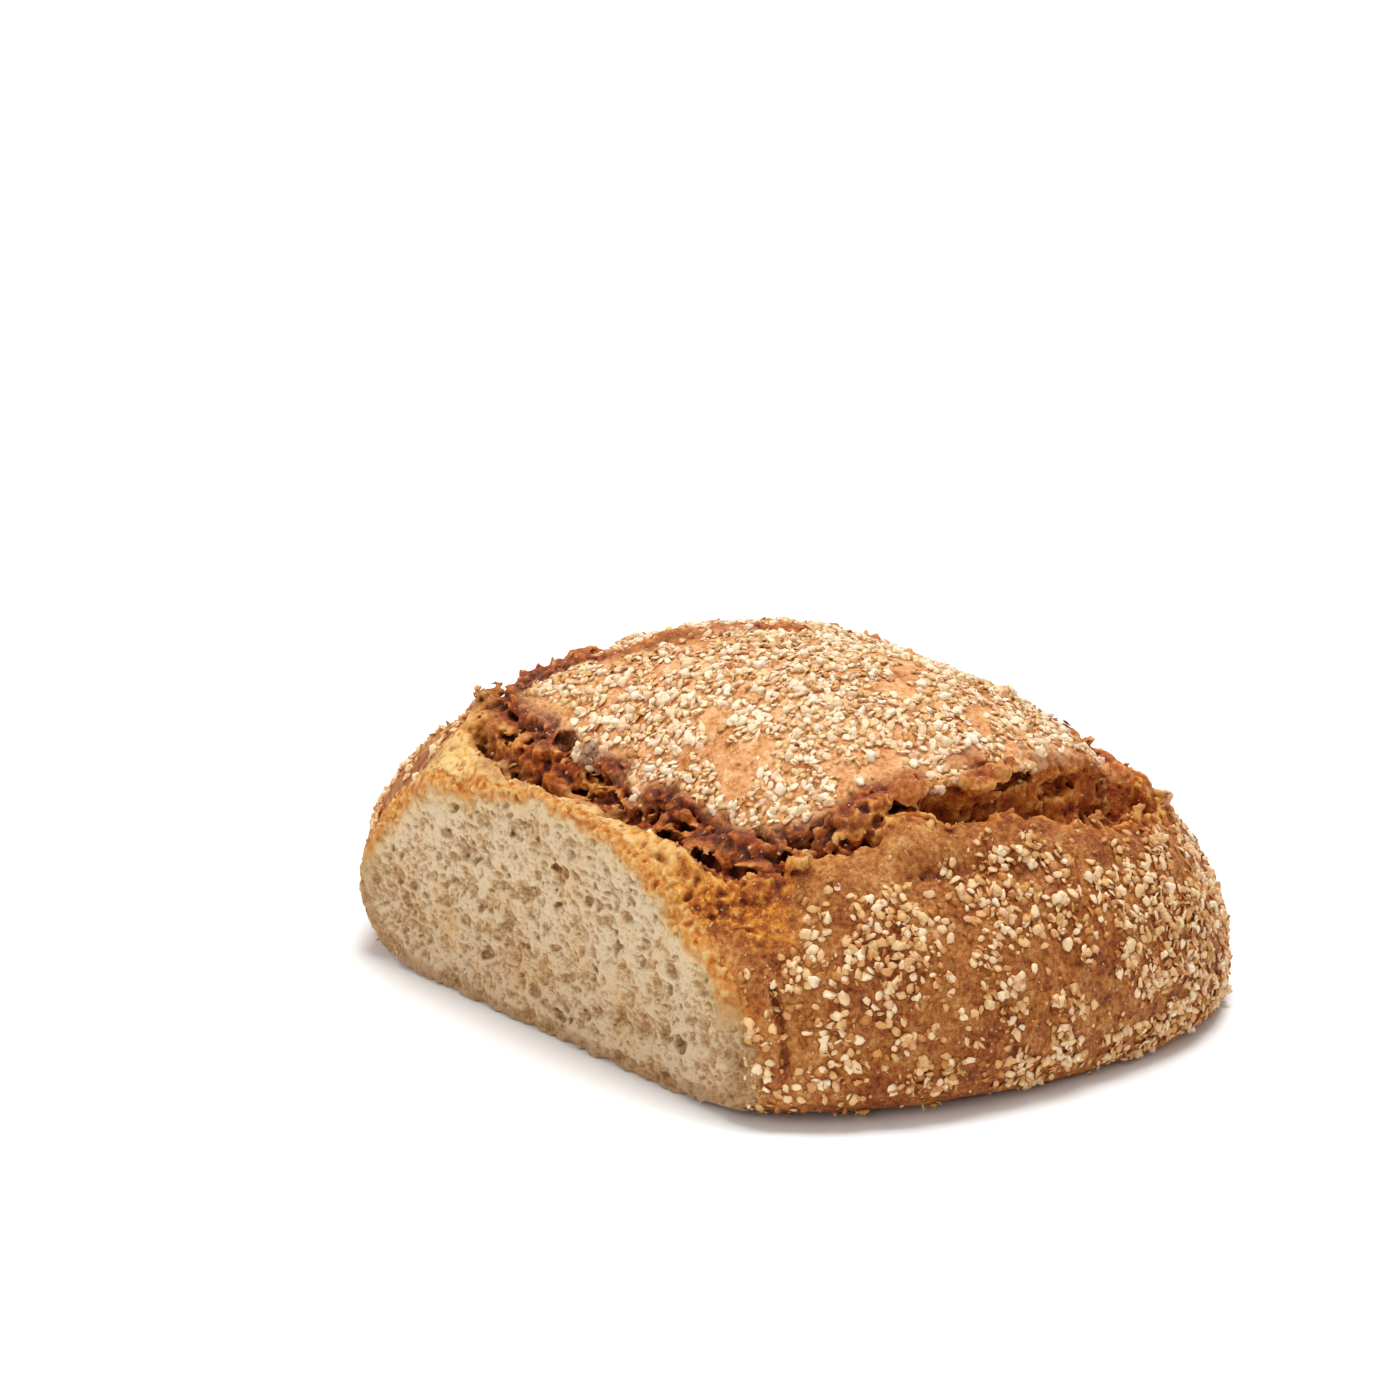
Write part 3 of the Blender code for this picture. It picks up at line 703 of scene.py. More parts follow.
def build_piece(name, points, triangles, masks, material, normals=None):
    """A mesh object that rides on the loaf's body, with one value of each mask at each corner."""
    used, triangles = np.unique(triangles, return_inverse=True)
    triangles = triangles.reshape(-1, 3)
    mesh = bpy.data.meshes.new(name)
    mesh.vertices.add(len(used))
    mesh.vertices.foreach_set("co", points[used].astype(np.float32).ravel())
    mesh.loops.add(triangles.size)
    mesh.loops.foreach_set("vertex_index", triangles.astype(np.int32).ravel())
    mesh.polygons.add(len(triangles))
    mesh.polygons.foreach_set("loop_start", np.arange(0, triangles.size, 3, dtype=np.int32))
    mesh.polygons.foreach_set("use_smooth", np.ones(len(triangles), bool))
    mesh.update(calc_edges=True)
    for mask, values in masks.items():
        layer = mesh.attributes.new(mask, "FLOAT", "POINT")
        layer.data.foreach_set("value", np.asarray(values, np.float32)[used])
    if normals is not None:
        mesh.normals_split_custom_set_from_vertices(normals[used])
    mesh.materials.append(material)
    piece = bpy.data.objects.new(name, mesh)
    bpy.context.scene.collection.objects.link(piece)
    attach(piece, "root")
    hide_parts("loaf")
    print(f"{name}: {len(triangles)} triangles")


# ---------------------------------------------------------------- growing the crust


def from_crest(points):
    """How far in plan a point lies from the burnt crest on the far side of the lid."""
    nearest = np.full(len(points), 1.0)
    for start, end in zip(CREST, CREST[1:]):
        along = end - start
        share = np.clip((points[:, :2] - start) @ along / (along @ along), 0, 1)
        nearest = np.minimum(nearest, np.linalg.norm(points[:, :2] - start - share[:, None] * along, axis=1))
    return np.where(points[:, 2] > CREST_FLOOR, nearest, 1.0)


def fine_side(points, plan):
    """How far inside the finely meshed crust a point is: torn dough, crest and the cut's edge."""
    x, y, z = points.T
    out, _, _, gap = plan.look(points)
    torn = np.minimum(out + FINE_INSIDE_RIM, gap + FINE_OUTSIDE_RIDGE - out)
    torn = np.minimum(torn, z - FINE_LOWEST)
    slope = z - np.interp(y, SLOPE_Y, SLOPE_EDGE) + FINE_BELOW_EDGE
    slope = np.minimum(CUT_X + FINE_SLOPE_DEPTH - x, slope)
    crest = FINE_ROUND_CREST - from_crest(points)
    return np.maximum.reduce((torn, slope, crest, CUT_X + FINE_BEHIND_CUT - x))


def within(edge, value, wander=0.0):
    """0 outside a named edge of a zone, 1 inside it."""
    start, full, reach = ZONE_EDGES[edge]
    return step_between(start, full, value + wander * reach)


def torn_slope(points, out, gap, wander):
    """Where the dough above the cut face is torn golden, as a mask."""
    x, y, z = points.T
    tear = within("tear_share", out / gap) * within("tear_side", x)
    tear *= within("tear_front_end", y, wander) * within("tear_back_end", y, wander)
    tear *= within("tear_foot", z, wander)
    off_slope = z - np.interp(y, SLOPE_Y, SLOPE_EDGE) - np.interp(y, SLOPE_Y, SLOPE_RISE) * (x - CUT_X)
    on_slope = within("slope_foot", off_slope) * within("slope_depth", x - CUT_X, wander)
    tear = np.maximum(tear, on_slope * within("slope_front_end", y) * within("slope_back_end", y))
    corner = within("corner_depth", x - CUT_X) * within("corner_side", y)
    corner *= within("corner_foot", z) * step_between(-0.25, 0.45, wander)
    to_patch = np.hypot(x - FRONT_PATCH[0], y - FRONT_PATCH[1])
    front_patch = within("front_patch", to_patch, wander) * within("front_patch_foot", z)
    return np.maximum(tear, np.maximum(0.8 * corner, front_patch))


def zones(points, plan):
    """Where a point is on the loaf, as masks from 0 to 1."""
    out, rim_z, ridge_z, gap = plan.look(points)
    z = points[:, 2]
    wander = smooth_noise(points, 9 * MM, 31) + 0.5 * smooth_noise(points, 4 * MM, 32)
    torn = within("under_rim", z - rim_z, wander) * within("before_ridge_share", out / gap, wander)
    lid = within("lid", out) * (1 - torn)
    to_rim = np.hypot(out - 0.5 * MM, z - rim_z + 1.5 * MM)
    crest = within("crest", from_crest(points), wander)
    rim = np.maximum(within("rim", to_rim, wander) * (1 - 0.92 * torn), crest)
    tear = torn_slope(points, out, gap, wander) * (1 - 0.6 * torn)
    ridge = within("ridge", np.abs(out - gap)) * within("ridge_foot", z - ridge_z)
    ridge *= (1 - lid) * (1 - torn) * (1 - tear)
    groove = within("groove_share", np.abs(out / gap - 0.25)) * within("groove_top", z - ridge_z)
    groove *= within("groove_inside", out)
    fine = within("fine", fine_side(points, plan))
    masks = {"torn": torn, "lid": lid, "rim": rim, "ridge": ridge, "tear": tear}
    return masks | {"groove": groove, "crest": crest, "fine": fine}


def relief(points, where):
    """How far the crust stands out from the smooth form."""
    height = sum(tall * MM * fractal(points, size * MM, 2, seed) for tall, size, seed in SWELLS)
    bend = np.stack([smooth_noise(points, 5 * MM, seed) for seed in (91, 92, 93)], axis=1)
    bent = points + 1.3 * MM * bend
    lump = smooth_noise(bent, LUMP_SIZE, 17)
    lobe = -creased(bent, LOBE_SIZE, 1, 9)
    crag, tip = (creased(bent, size, 1, 9) * where["fine"] for size in (CRAG_SIZE, TIP_SIZE))
    share = dict(where)
    for name in ("rim", "tear"):
        share[name] = where[name] * (1 - where["torn"])
    fields = (lump, lobe, crag, tip)
    for name, heights in ZONE_RELIEF.items():
        height += MM * share[name] * sum(tall * field for tall, field in zip(heights, fields))
    return height - where["groove"] * GROOVE_DEPTH - SKIN_INSET


def fills_beside(x, y):
    """The kinds of dough that follow the rim at a place of it in plan."""
    if x < -60 * MM and -52 * MM < y < 47 * MM:
        yield CUT_SIDE_FILL
    if x < -55 * MM and y < -50 * MM:
        yield CORNER_FILL
    if (x < -60 * MM and -75 * MM < y < 20 * MM) or (x < -45 * MM and y < -70 * MM):
        yield CLIFF_SWELL


def rolled_rim(plan):
    """The lid's rolled rim and the dough beside it that follows it, as tapered bars."""
    rim, outward = plan.rim, plan.outward
    thick = (2.0 + 0.8 * fractal(rim, 14 * MM, 2, 81)) * MM
    lift = 0.9 * MM * smooth_noise(rim, 10 * MM, 85)
    overhang = 1.8 * MM * step_between(-58 * MM, -70 * MM, rim[:, 1]) - 1.6 * MM
    core = rim + outward * overhang[:, None] - UP * 2.2 * MM + UP * lift[:, None]
    bars = []
    for index in range(0, RIM_STEPS, 2):
        after = (index + 2) % RIM_STEPS
        bars.append((core[index], core[after], thick[index], thick[after], 2.0 * MM))
        for out, down, radius, blend in fills_beside(*rim[index, :2]):
            start, end = (rim[place] + outward[place] * out - UP * down for place in (index, after))
            bars.append((start, end, radius, radius, blend))
    return bars


def front_lip(plan):
    """The ridge's lip in front of the lid and the dough that backs it, as bars."""
    lip = np.interp(plan.ridge[:, 0], FRONT_LIP_X, FRONT_LIP_RISE) * (plan.ridge[:, 1] < -60 * MM)
    crown = plan.ridge + plan.outward * 0.5 * MM + UP * (lip - 3.2 * MM)[:, None]
    bars = []
    for index in np.flatnonzero(lip):
        after = (index + 1) % RIM_STEPS
        bars.append((crown[index], crown[after], FRONT_LIP_RADIUS, FRONT_LIP_RADIUS, 3.5 * MM))
        low = plan.outward[index] * 3 * MM - UP * 4.5 * MM
        bars.append((crown[index] + low, crown[after] + low, FRONT_LIP_BACKING, FRONT_LIP_BACKING, 4.5 * MM))
    return bars


def knob(centre, radius, reach, taper, blend, draw):
    """A knob as a short tapered bar that leans at random."""
    return centre, centre + draw.normal(0, reach, 3), radius, radius * taper, blend


def rim_bars(plan, draw):
    """All that is fused to the crust round the lid before its relief, as tapered bars."""
    bars = rolled_rim(plan)
    for _ in range(KNOB_COUNT):
        index = draw.integers(RIM_STEPS)
        centre = plan.rim[index] + plan.outward[index] * draw.uniform(-3.0, 0.5) * MM
        centre = centre - UP * draw.uniform(0.0, 3.5) * MM
        bars.append(knob(centre, draw.uniform(*KNOB_RADII) * MM, 1.5 * MM, 0.7, 1.0 * MM, draw))
    bars += front_lip(plan)
    for _ in range(RIDGE_KNOBS):
        centre = plan.ridge[draw.integers(RIM_STEPS)] - UP * 0.8 * MM + draw.normal(0, 1.1 * MM, 3)
        lump = knob(centre, draw.uniform(*RIDGE_KNOB_RADII) * MM, 2.0 * MM, 0.7, 1.0 * MM, draw)
        above_cut = centre[0] <= -74 * MM and centre[1] >= -75 * MM
        if not above_cut:
            bars.append(lump)
    for x, y, z, radius in PLACED_KNOBS:
        bars.append(knob(np.array((x, y, z)) * MM, radius * MM, 1.0 * MM, 0.8, 1.2 * MM, draw))
    return bars


def rim_shards(plan, draw):
    """Pointed shards of crust along the lid's rim, as tapered bars."""
    bars = []
    for _ in range(SPIKE_COUNT):
        index = draw.integers(RIM_STEPS)
        root = plan.rim[index] - UP * draw.uniform(0.0, 2.0) * MM
        lean = plan.outward[index] * draw.uniform(0.0, 0.8) + UP * draw.uniform(-0.1, 0.8)
        tip = root + lean * draw.uniform(*SPIKE_LENGTHS) * MM
        bars.append((root, tip, draw.uniform(*SPIKE_RADII) * MM, 0.4 * MM, 0.9 * MM))
    return bars


def torn_holes(block, plan, draw):
    """Recesses under the lid's rim and bubbles torn open in the dough, as centres, radii and leans."""
    holes = []
    for _ in range(RECESS_COUNT):
        index = draw.integers(RIM_STEPS)
        centre = plan.rim[index] + plan.outward[index] * 0.5 * MM - UP * draw.uniform(*RECESS_DROPS) * MM
        if centre[0] > RECESS_LEAST_X:
            radii = draw.uniform(*RECESS_RADII, 3) * (1, 1, 0.7) * MM
            holes.append((centre, radii, 0.0, RECESS_ROUGHNESS))
    for recess in PLACED_RECESSES:
        holes.append((np.array(recess[:3]) * MM, np.array(recess[3:]) * MM, 0.0, RECESS_ROUGHNESS))
    _, points = block.near(0.6 * block.cell)
    where = zones(points, plan)
    wanted = np.maximum(where["torn"], 0.4 * where["rim"]) * (1 - where["tear"])
    wanted *= fine_side(points, plan) > 2.5 * MM
    for centre in points[draw.choice(len(points), TORN_BUBBLES, p=wanted / wanted.sum())]:
        size = draw.uniform(*(SMALL_BUBBLES if draw.random() < SMALL_SHARE else LARGE_BUBBLES))
        radii = size * draw.uniform(0.75, 1.3, 3) * MM
        holes.append((centre + draw.normal(0, 0.4 * MM, 3), radii, draw.uniform(-0.3, 0.3)))
    return holes


def on_skin(block, place):
    """The point of the skin straight out from the loaf's middle, level with a place."""
    line = place * np.linspace((0.6, 0.6, 1.0), (1.4, 1.4, 1.0), 400)
    return line[np.flatnonzero(block.sample(line) < 0).max()]


def skin_holes(block):
    """Pinholes in the wall, and the crack down its front corner."""
    radii = np.full(3, PINHOLE_RADIUS * MM)
    holes = [(on_skin(block, np.array(place) * MM), radii, 0.0) for place in PINHOLES]
    for start, end in zip(CRACK, CRACK[1:]):
        for share in np.linspace(0, 1, CRACK_STEPS):
            place = (np.array(start) * (1 - share) + np.array(end) * share) * MM
            holes.append((on_skin(block, place), np.array(CRACK_RADII) * MM, 0.0))
    return holes


def cut_depth(points):
    """How far the rough cut lies behind its flat plane, for points in Y and Z."""
    return np.abs(fractal(points * (0, 1, 1), 5 * MM, 3, 41)) * 0.6 * MM


class Crust:
    """The grown crust in one size of cube."""

    def __init__(self, cell, form):
        low, high = (np.array(corner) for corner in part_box("loaf"))
        self.block = Block(low - CRUST_MARGIN, high + CRUST_MARGIN, cell, CRUST_REACH)
        self.block.fill_from_form(*form)

    def slope_off(self):
        """Shaves the shoulder down to the torn slope above the cut face."""
        x, y, z = self.block.axes()
        edge, rise = np.interp(y, SLOPE_Y, SLOPE_EDGE), np.interp(y, SLOPE_Y, SLOPE_RISE)
        above = (z - edge - rise * (x - CUT_X)) / np.sqrt(1 + rise**2)
        here = self.block.values
        blend = 2.5 * MM
        near = np.clip(0.5 - (here - above) / blend / 2, 0, 1)
        sloped = here * (1 - near) + above * near + blend * near * (1 - near)
        self.block.values = np.minimum(sloped, CRUST_REACH).astype(np.float32)

    def grow(self, plan, bars, shards, only_fine):
        self.slope_off()
        self.smooth = self.block.values.copy()
        for bar in bars:
            self.block.add_bar(*bar)
        found, points = self.block.near(0.95 * CRUST_REACH)
        if only_fine:
            wanted = fine_side(points, plan) > -FINE_MARGIN
            found, points = tuple(part[wanted] for part in found), points[wanted]
        self.block.values[found] -= relief(points, zones(points, plan))
        for bar in shards:
            self.block.add_bar(*bar)
        self.keep_below(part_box("loaf")[1][2] - TOP_CLEARANCE)

    def keep_below(self, top):
        """Rounds off whatever stands out above the given height."""
        blend = 1.2 * MM
        start = int((top - 4 * blend) / self.block.cell) - self.block.first[2]
        here = self.block.values[:, :, start:]
        above = self.block.axes()[2][:, :, start:] - top + blend / 4
        near = np.clip(0.5 - (here - above) / blend / 2, 0, 1)
        self.block.values[:, :, start:] = here * (1 - near) + above * near + blend * near * (1 - near)

    def cut(self):
        """Makes the flat foot and the cut face, set back a little and with a pocket for the crumb."""
        x, y, z = self.block.axes()
        self.block.values = np.maximum(self.block.values, -z).astype(np.float32)
        self.skin = self.block.values
        flat = np.stack(np.broadcast_arrays(0, y[0], z[0]), axis=-1).reshape(-1, 3)
        depth = cut_depth(flat).reshape(1, *self.skin.shape[1:])
        body = np.maximum(self.skin, CUT_X + RIM_RECESS + depth - x)
        wall = np.maximum(self.skin + RIM_WALL, self.smooth + POCKET_WALL)
        pocket = np.maximum(wall, x - CUT_X - CRUMB_DEPTH)
        self.block.values = np.maximum(body, -pocket).astype(np.float32)

    def hidden(self, points):
        """Whether a point is deep in the pocket, behind the crumb."""
        deep = self.block.sample(points, self.skin) < -HIDDEN_DEPTH
        deep &= self.block.sample(points, self.smooth) < 0.8 * MM - POCKET_WALL
        behind_face = points[:, 0] - CUT_X
        return deep & (behind_face > CRUMB_LAP) & (behind_face < CRUMB_DEPTH + 1 * MM)

    def mesh(self, plan):
        """Points, triangles, normals and masks, without what is hidden behind the crumb."""
        points, triangles = self.block.surface()
        triangles = largest_body(points, triangles)
        normals = corner_normals(points, triangles)
        x, y, _ = points.T
        golden = within("golden_depth", x - CUT_X, smooth_noise(points, 4 * MM, 95))
        golden *= within("golden_end", y)
        to_ash = np.linalg.norm(points - np.array(ASHEN_KNOB[:3]) * MM, axis=1)
        wide, narrow = (self.block.hollowness(points, reach) for reach in HOLLOW_REACHES)
        # The hollow mask and the cut side's mask darken the crust's colour as painted shade.
        masks = {
            "hollow": (wide + narrow) / 2,
            "by_cut": 0.5 + 0.5 * golden - 0.5 * within("browned_corner", y),
            "cut_side_shade": within("cut_side_shade", x),
            "ash": within("ash", to_ash),
        }
        where = zones(points, plan)
        masks.update({name: where[name] for name in ("torn", "lid", "rim", "ridge", "tear")})
        seen = ~self.hidden(points)[triangles].all(axis=1)
        return points, triangles[seen], normals, masks


def crumb_waves(points, soft_height, soft_size, crease_height, crease_size, crease_octaves, seed):
    """Soft lumps less creases, a little longer across the face than high."""
    widened = points * (1, 0.7, 1)
    soft = soft_height * fractal(widened, soft_size, 2, seed)
    return soft - crease_height * creased(widened, crease_size, crease_octaves, seed + 2)


def grow_crumb(crust, draw):
    """The crumb behind the cut face, full of bubbles that the knife has opened."""
    box_low, box_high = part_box("loaf")
    low = (CUT_X - 2 * MM, box_low[1], 0.0)
    high = (CUT_X + CRUMB_DEPTH + 1 * MM, box_high[1], max(RIDGE_HEIGHT))
    block = Block(low, high, CRUMB_CELL, 4 * CRUMB_CELL)
    places = block.all_places()
    inside = crust.block.sample(places, crust.skin) + CRUMB_INSET
    front = CUT_X + cut_depth(places) + crumb_waves(places, *CRUMB_LUMPS) + CRUMB_SETBACK - places[:, 0]
    solid = np.maximum(np.maximum(inside, front), places[:, 0] - CUT_X - CRUMB_DEPTH)
    block.values = solid.reshape(block.values.shape).astype(np.float32)
    at_front = np.abs(front) < CRUMB_CELL
    for count, small, large, shallow, deep, rim_gap in CRUMB_BUBBLES:
        faces = places[at_front & (inside < -rim_gap * MM)]
        for centre in faces[draw.choice(len(faces), count)]:
            radius = draw.uniform(small, large) * MM
            radii = radius * np.array((1, draw.uniform(0.8, 1.5), draw.uniform(0.7, 1.3)))
            centre = centre + np.array((draw.uniform(shallow, deep) * radius, 0, 0))
            block.hollow(centre, radii, draw.uniform(-0.5, 0.9))
    found, points = block.near(3 * CRUMB_CELL)
    block.values[found] -= crumb_waves(points, *CRUMB_NODULES)
    x, _, z = block.axes()
    block.values = np.maximum(block.values, np.maximum(CUT_X - x, -z)).astype(np.float32)
    return block


# ---------------------------------------------------------------- shader building


def colour(red, green, blue):
    """A display colour, 0 to 255 each, as the linear colour that a shader takes."""
    return tuple((value / 255) ** 2.2 for value in (red, green, blue)) + (1.0,)


class Nodes:
    """Adds nodes to one tree and joins them up."""

    def __init__(self, tree):
        self.tree = tree

    def add(self, kind, inputs=None, **settings):
        node = self.tree.nodes.new("ShaderNode" + kind)
        for name, value in settings.items():
            setattr(node, name, value)
        for name, value in (inputs or {}).items():
            self.feed(node.inputs[name], value)
        return node

    def feed(self, socket, value):
        if isinstance(value, bpy.types.NodeSocket):
            self.tree.links.new(value, socket)
        else:
            socket.default_value = value

    def mix(self, factor, first, second, how="MIX"):
        node = self.add("Mix", data_type="RGBA", blend_type=how)
        for index, value in ((0, factor), (6, first), (7, second)):
            self.feed(node.inputs[index], value)
        return node.outputs[2]

    def maths(self, how, first, second):
        node = self.add("Math", operation=how)
        self.feed(node.inputs[0], first)
        self.feed(node.inputs[1], second)
        return node.outputs[0]

    def blend(self, *parts):
        """The weighted sum of values, from pairs of value and weight."""
        total = self.maths("MULTIPLY", *parts[0])
        for value, weight in parts[1:]:
            node = self.add("Math", operation="MULTIPLY_ADD")
            for socket, given in zip(node.inputs, (value, weight, total)):
                self.feed(socket, given)
            total = node.outputs[0]
        return total

    def ramp(self, factor, *stops):
        """A colour ramp through stops of place, red, green and blue."""
        node = self.add("ValToRGB", {"Fac": factor})
        elements = node.color_ramp.elements
        while len(elements) < len(stops):
            elements.new(0.5)
        for element, (place, *rgb) in zip(elements, stops):
            element.position = place
            element.color = colour(*rgb)
        return node.outputs["Color"]

    def band(self, value, low, high):
        """0 at low, 1 at high, and straight between."""
        return self.add("MapRange", {"Value": value, "From Min": low, "From Max": high}).outputs["Result"]

    def noise(self, size, detail=3.0, roughness=0.55, stretch=(1, 1, 1)):
        place = self.add("TexCoord").outputs["Object"]
        place = self.add("Mapping", {"Vector": place, "Scale": stretch}).outputs["Vector"]
        inputs = {"Vector": place, "Scale": 1 / size, "Detail": detail, "Roughness": roughness}
        return self.add("TexNoise", inputs).outputs["Fac"]

    def mask(self, name):
        return self.add("Attribute", attribute_name=name).outputs["Fac"]


def effect(name, inputs, outputs, build):
    """A node group with named inputs and outputs; build joins them and returns the outputs."""
    group = bpy.data.node_groups.new(name, "ShaderNodeTree")
    for label, kind in inputs:
        group.interface.new_socket(label, in_out="INPUT", socket_type="NodeSocket" + kind)
    for label, kind in outputs:
        group.interface.new_socket(label, in_out="OUTPUT", socket_type="NodeSocket" + kind)
    nodes = Nodes(group)
    given = group.nodes.new("NodeGroupInput").outputs
    made = group.nodes.new("NodeGroupOutput").inputs
    results = build(nodes, given)
    for label, _ in outputs:
        group.links.new(results[label], made[label])
    return group


def browning_effect():
    """Toasts a colour: first deeper and redder, then dark brown."""

    def build(nodes, given):
        deeper = nodes.mix(1.0, given["Colour"], colour(*BROWNED), "MULTIPLY")
        browned = nodes.mix(nodes.band(given["Amount"], 0.0, 0.55), given["Colour"], deeper)
        burnt = nodes.mix(nodes.band(given["Amount"], 0.5, 1.0), browned, colour(*BURNT))
        return {"Colour": burnt}

    return effect("browning", (("Colour", "Color"), ("Amount", "Float")), (("Colour", "Color"),), build)


def specks_effect():
    """Tiny specks of one size that sit on a share of the surface, as a mask."""

    def build(nodes, given):
        place = nodes.add("TexCoord").outputs["Object"]
        spots = nodes.add("TexVoronoi", {"Vector": place, "Scale": given["Scale"]})
        near = nodes.maths("SUBTRACT", given["Width"], spots.outputs["Distance"])
        near = nodes.band(near, 0.0, 0.08)
        chosen = nodes.add("SeparateColor", {"Color": spots.outputs["Color"]}).outputs["Red"]
        chosen = nodes.maths("LESS_THAN", chosen, given["Share"])
        return {"Mask": nodes.maths("MULTIPLY", near, chosen)}

    inputs = (("Scale", "Float"), ("Width", "Float"), ("Share", "Float"))
    return effect("specks", inputs, (("Mask", "Float"),), build)


def new_material(name, roughness, flesh=0.0):
    """A material with its nodes and shader; flesh is how much light goes in and comes out again."""
    material = bpy.data.materials.new(name)
    material.use_nodes = True
    shader = material.node_tree.nodes["Principled BSDF"]
    shader.inputs["Roughness"].default_value = roughness
    shader.inputs["Specular IOR Level"].default_value = 0.3
    shader.inputs["Subsurface Weight"].default_value = flesh
    shader.inputs["Subsurface Radius"].default_value = (1.0, 0.55, 0.25)
    shader.inputs["Subsurface Scale"].default_value = 2.0 * MM
    return material, Nodes(material.node_tree), shader


def use(nodes, group, **inputs):
    """Places an effect in a material with its own values."""
    node = nodes.add("Group", node_tree=group)
    for name, value in inputs.items():
        nodes.feed(node.inputs[name], value)
    return node


def finish_with_bump(nodes, shader, base, height, distance):
    nodes.feed(shader.inputs["Base Color"], base)
    bump = nodes.add("Bump", {"Height": height, "Distance": distance})
    nodes.feed(shader.inputs["Normal"], bump.outputs["Normal"])


def speck_mask(nodes, specks, size, width, share):
    return use(nodes, specks, Scale=1 / size, Width=width, Share=share).outputs["Mask"]


def tinted(nodes, base, mask, strength, rgb):
    """The base with a share of one colour where the mask is full."""
    return nodes.mix(nodes.maths("MULTIPLY", mask, strength), base, colour(*rgb))


def crust_material(browning, specks):
    """Golden wall, tan lid, orange torn dough and browned rim, by the masks of the mesh."""
    material, nodes, shader = new_material("baked_crust", 0.5)
    patches = nodes.noise(24 * MM, 4.0, 0.6)
    mottle = nodes.noise(5 * MM, 5.0, 0.7)
    grain = nodes.noise(1.2 * MM, 4.0, 0.65)
    fibre = nodes.noise(1.8 * MM, 4.0, 0.72)
    names = ("hollow", "torn", "tear", "rim", "ridge", "cut_side_shade", "by_cut")
    hollow, torn, tear, rim, ridge, cut_side_shade, by_cut = (nodes.mask(name) for name in names)

    # Each tone darkens with the hollow mask: painted shade in the crust's hollows, recesses and torn
    # bubbles.
    wall_tone = nodes.blend((patches, 0.40), (mottle, 0.55), (grain, 0.65), (hollow, -0.40), (0.5, -0.15))
    lid_tone = nodes.blend((patches, 0.40), (mottle, 0.60), (grain, 0.60), (hollow, -0.35), (0.5, -0.22))
    # On the cut's side the torn and rim browns are darker: painted shade under the overhanging lid.
    brown_parts = (mottle, 0.75), (grain, 0.45), (fibre, 0.50), (hollow, -0.65), (cut_side_shade, -0.15)
    brown_tone = nodes.blend(*brown_parts)
    tear_tone = nodes.blend((mottle, 0.90), (fibre, 0.70), (hollow, -0.45), (by_cut, 0.44), (0.5, -0.42))

    base = nodes.mix(nodes.mask("lid"), nodes.ramp(wall_tone, *WALL_BROWNS), nodes.ramp(lid_tone, *LID_TANS))
    base = nodes.mix(torn, base, nodes.ramp(brown_tone, *TORN_ORANGES))
    golden = nodes.maths("MAXIMUM", tear, nodes.maths("MULTIPLY", ridge, 0.4))
    base = nodes.mix(golden, base, nodes.ramp(tear_tone, *TEAR_GOLDS))
    browned = nodes.maths("MULTIPLY", rim, nodes.band(mottle, 0.26, 0.46))
    base = nodes.mix(browned, base, nodes.ramp(brown_tone, *RIM_BROWNS))
    base = tinted(nodes, base, nodes.mask("ash"), nodes.band(grain, 0.40, 0.62), ASH_GREY)
    toast = nodes.maths("MULTIPLY", nodes.band(patches, 0.62, 0.45), 0.10)
    base = use(nodes, browning, Colour=base, Amount=toast).outputs["Colour"]
    # White specks off the torn dough: flour dust and painted glints.
    dust_and_glints = speck_mask(nodes, specks, 1.3 * MM, 0.26, 0.16)
    dust_and_glints = nodes.maths("MULTIPLY", dust_and_glints, nodes.maths("SUBTRACT", 1.0, torn))
    base = tinted(nodes, base, dust_and_glints, 0.5, FLOUR_AND_GLINT_WHITE)
    base = tinted(nodes, base, speck_mask(nodes, specks, 2.3 * MM, 0.34, 0.22), 0.45, BRAN_BROWN)

    nodes.feed(shader.inputs["Roughness"], nodes.band(mottle, 1.5, 0.0))
    fibres = nodes.maths("MULTIPLY", nodes.maths("MAXIMUM", torn, tear), fibre)
    height = nodes.blend((grain, 0.6), (mottle, 0.5), (dust_and_glints, 0.25), (fibres, 1.6))
    finish_with_bump(nodes, shader, base, height, 0.9 * MM)
    return material


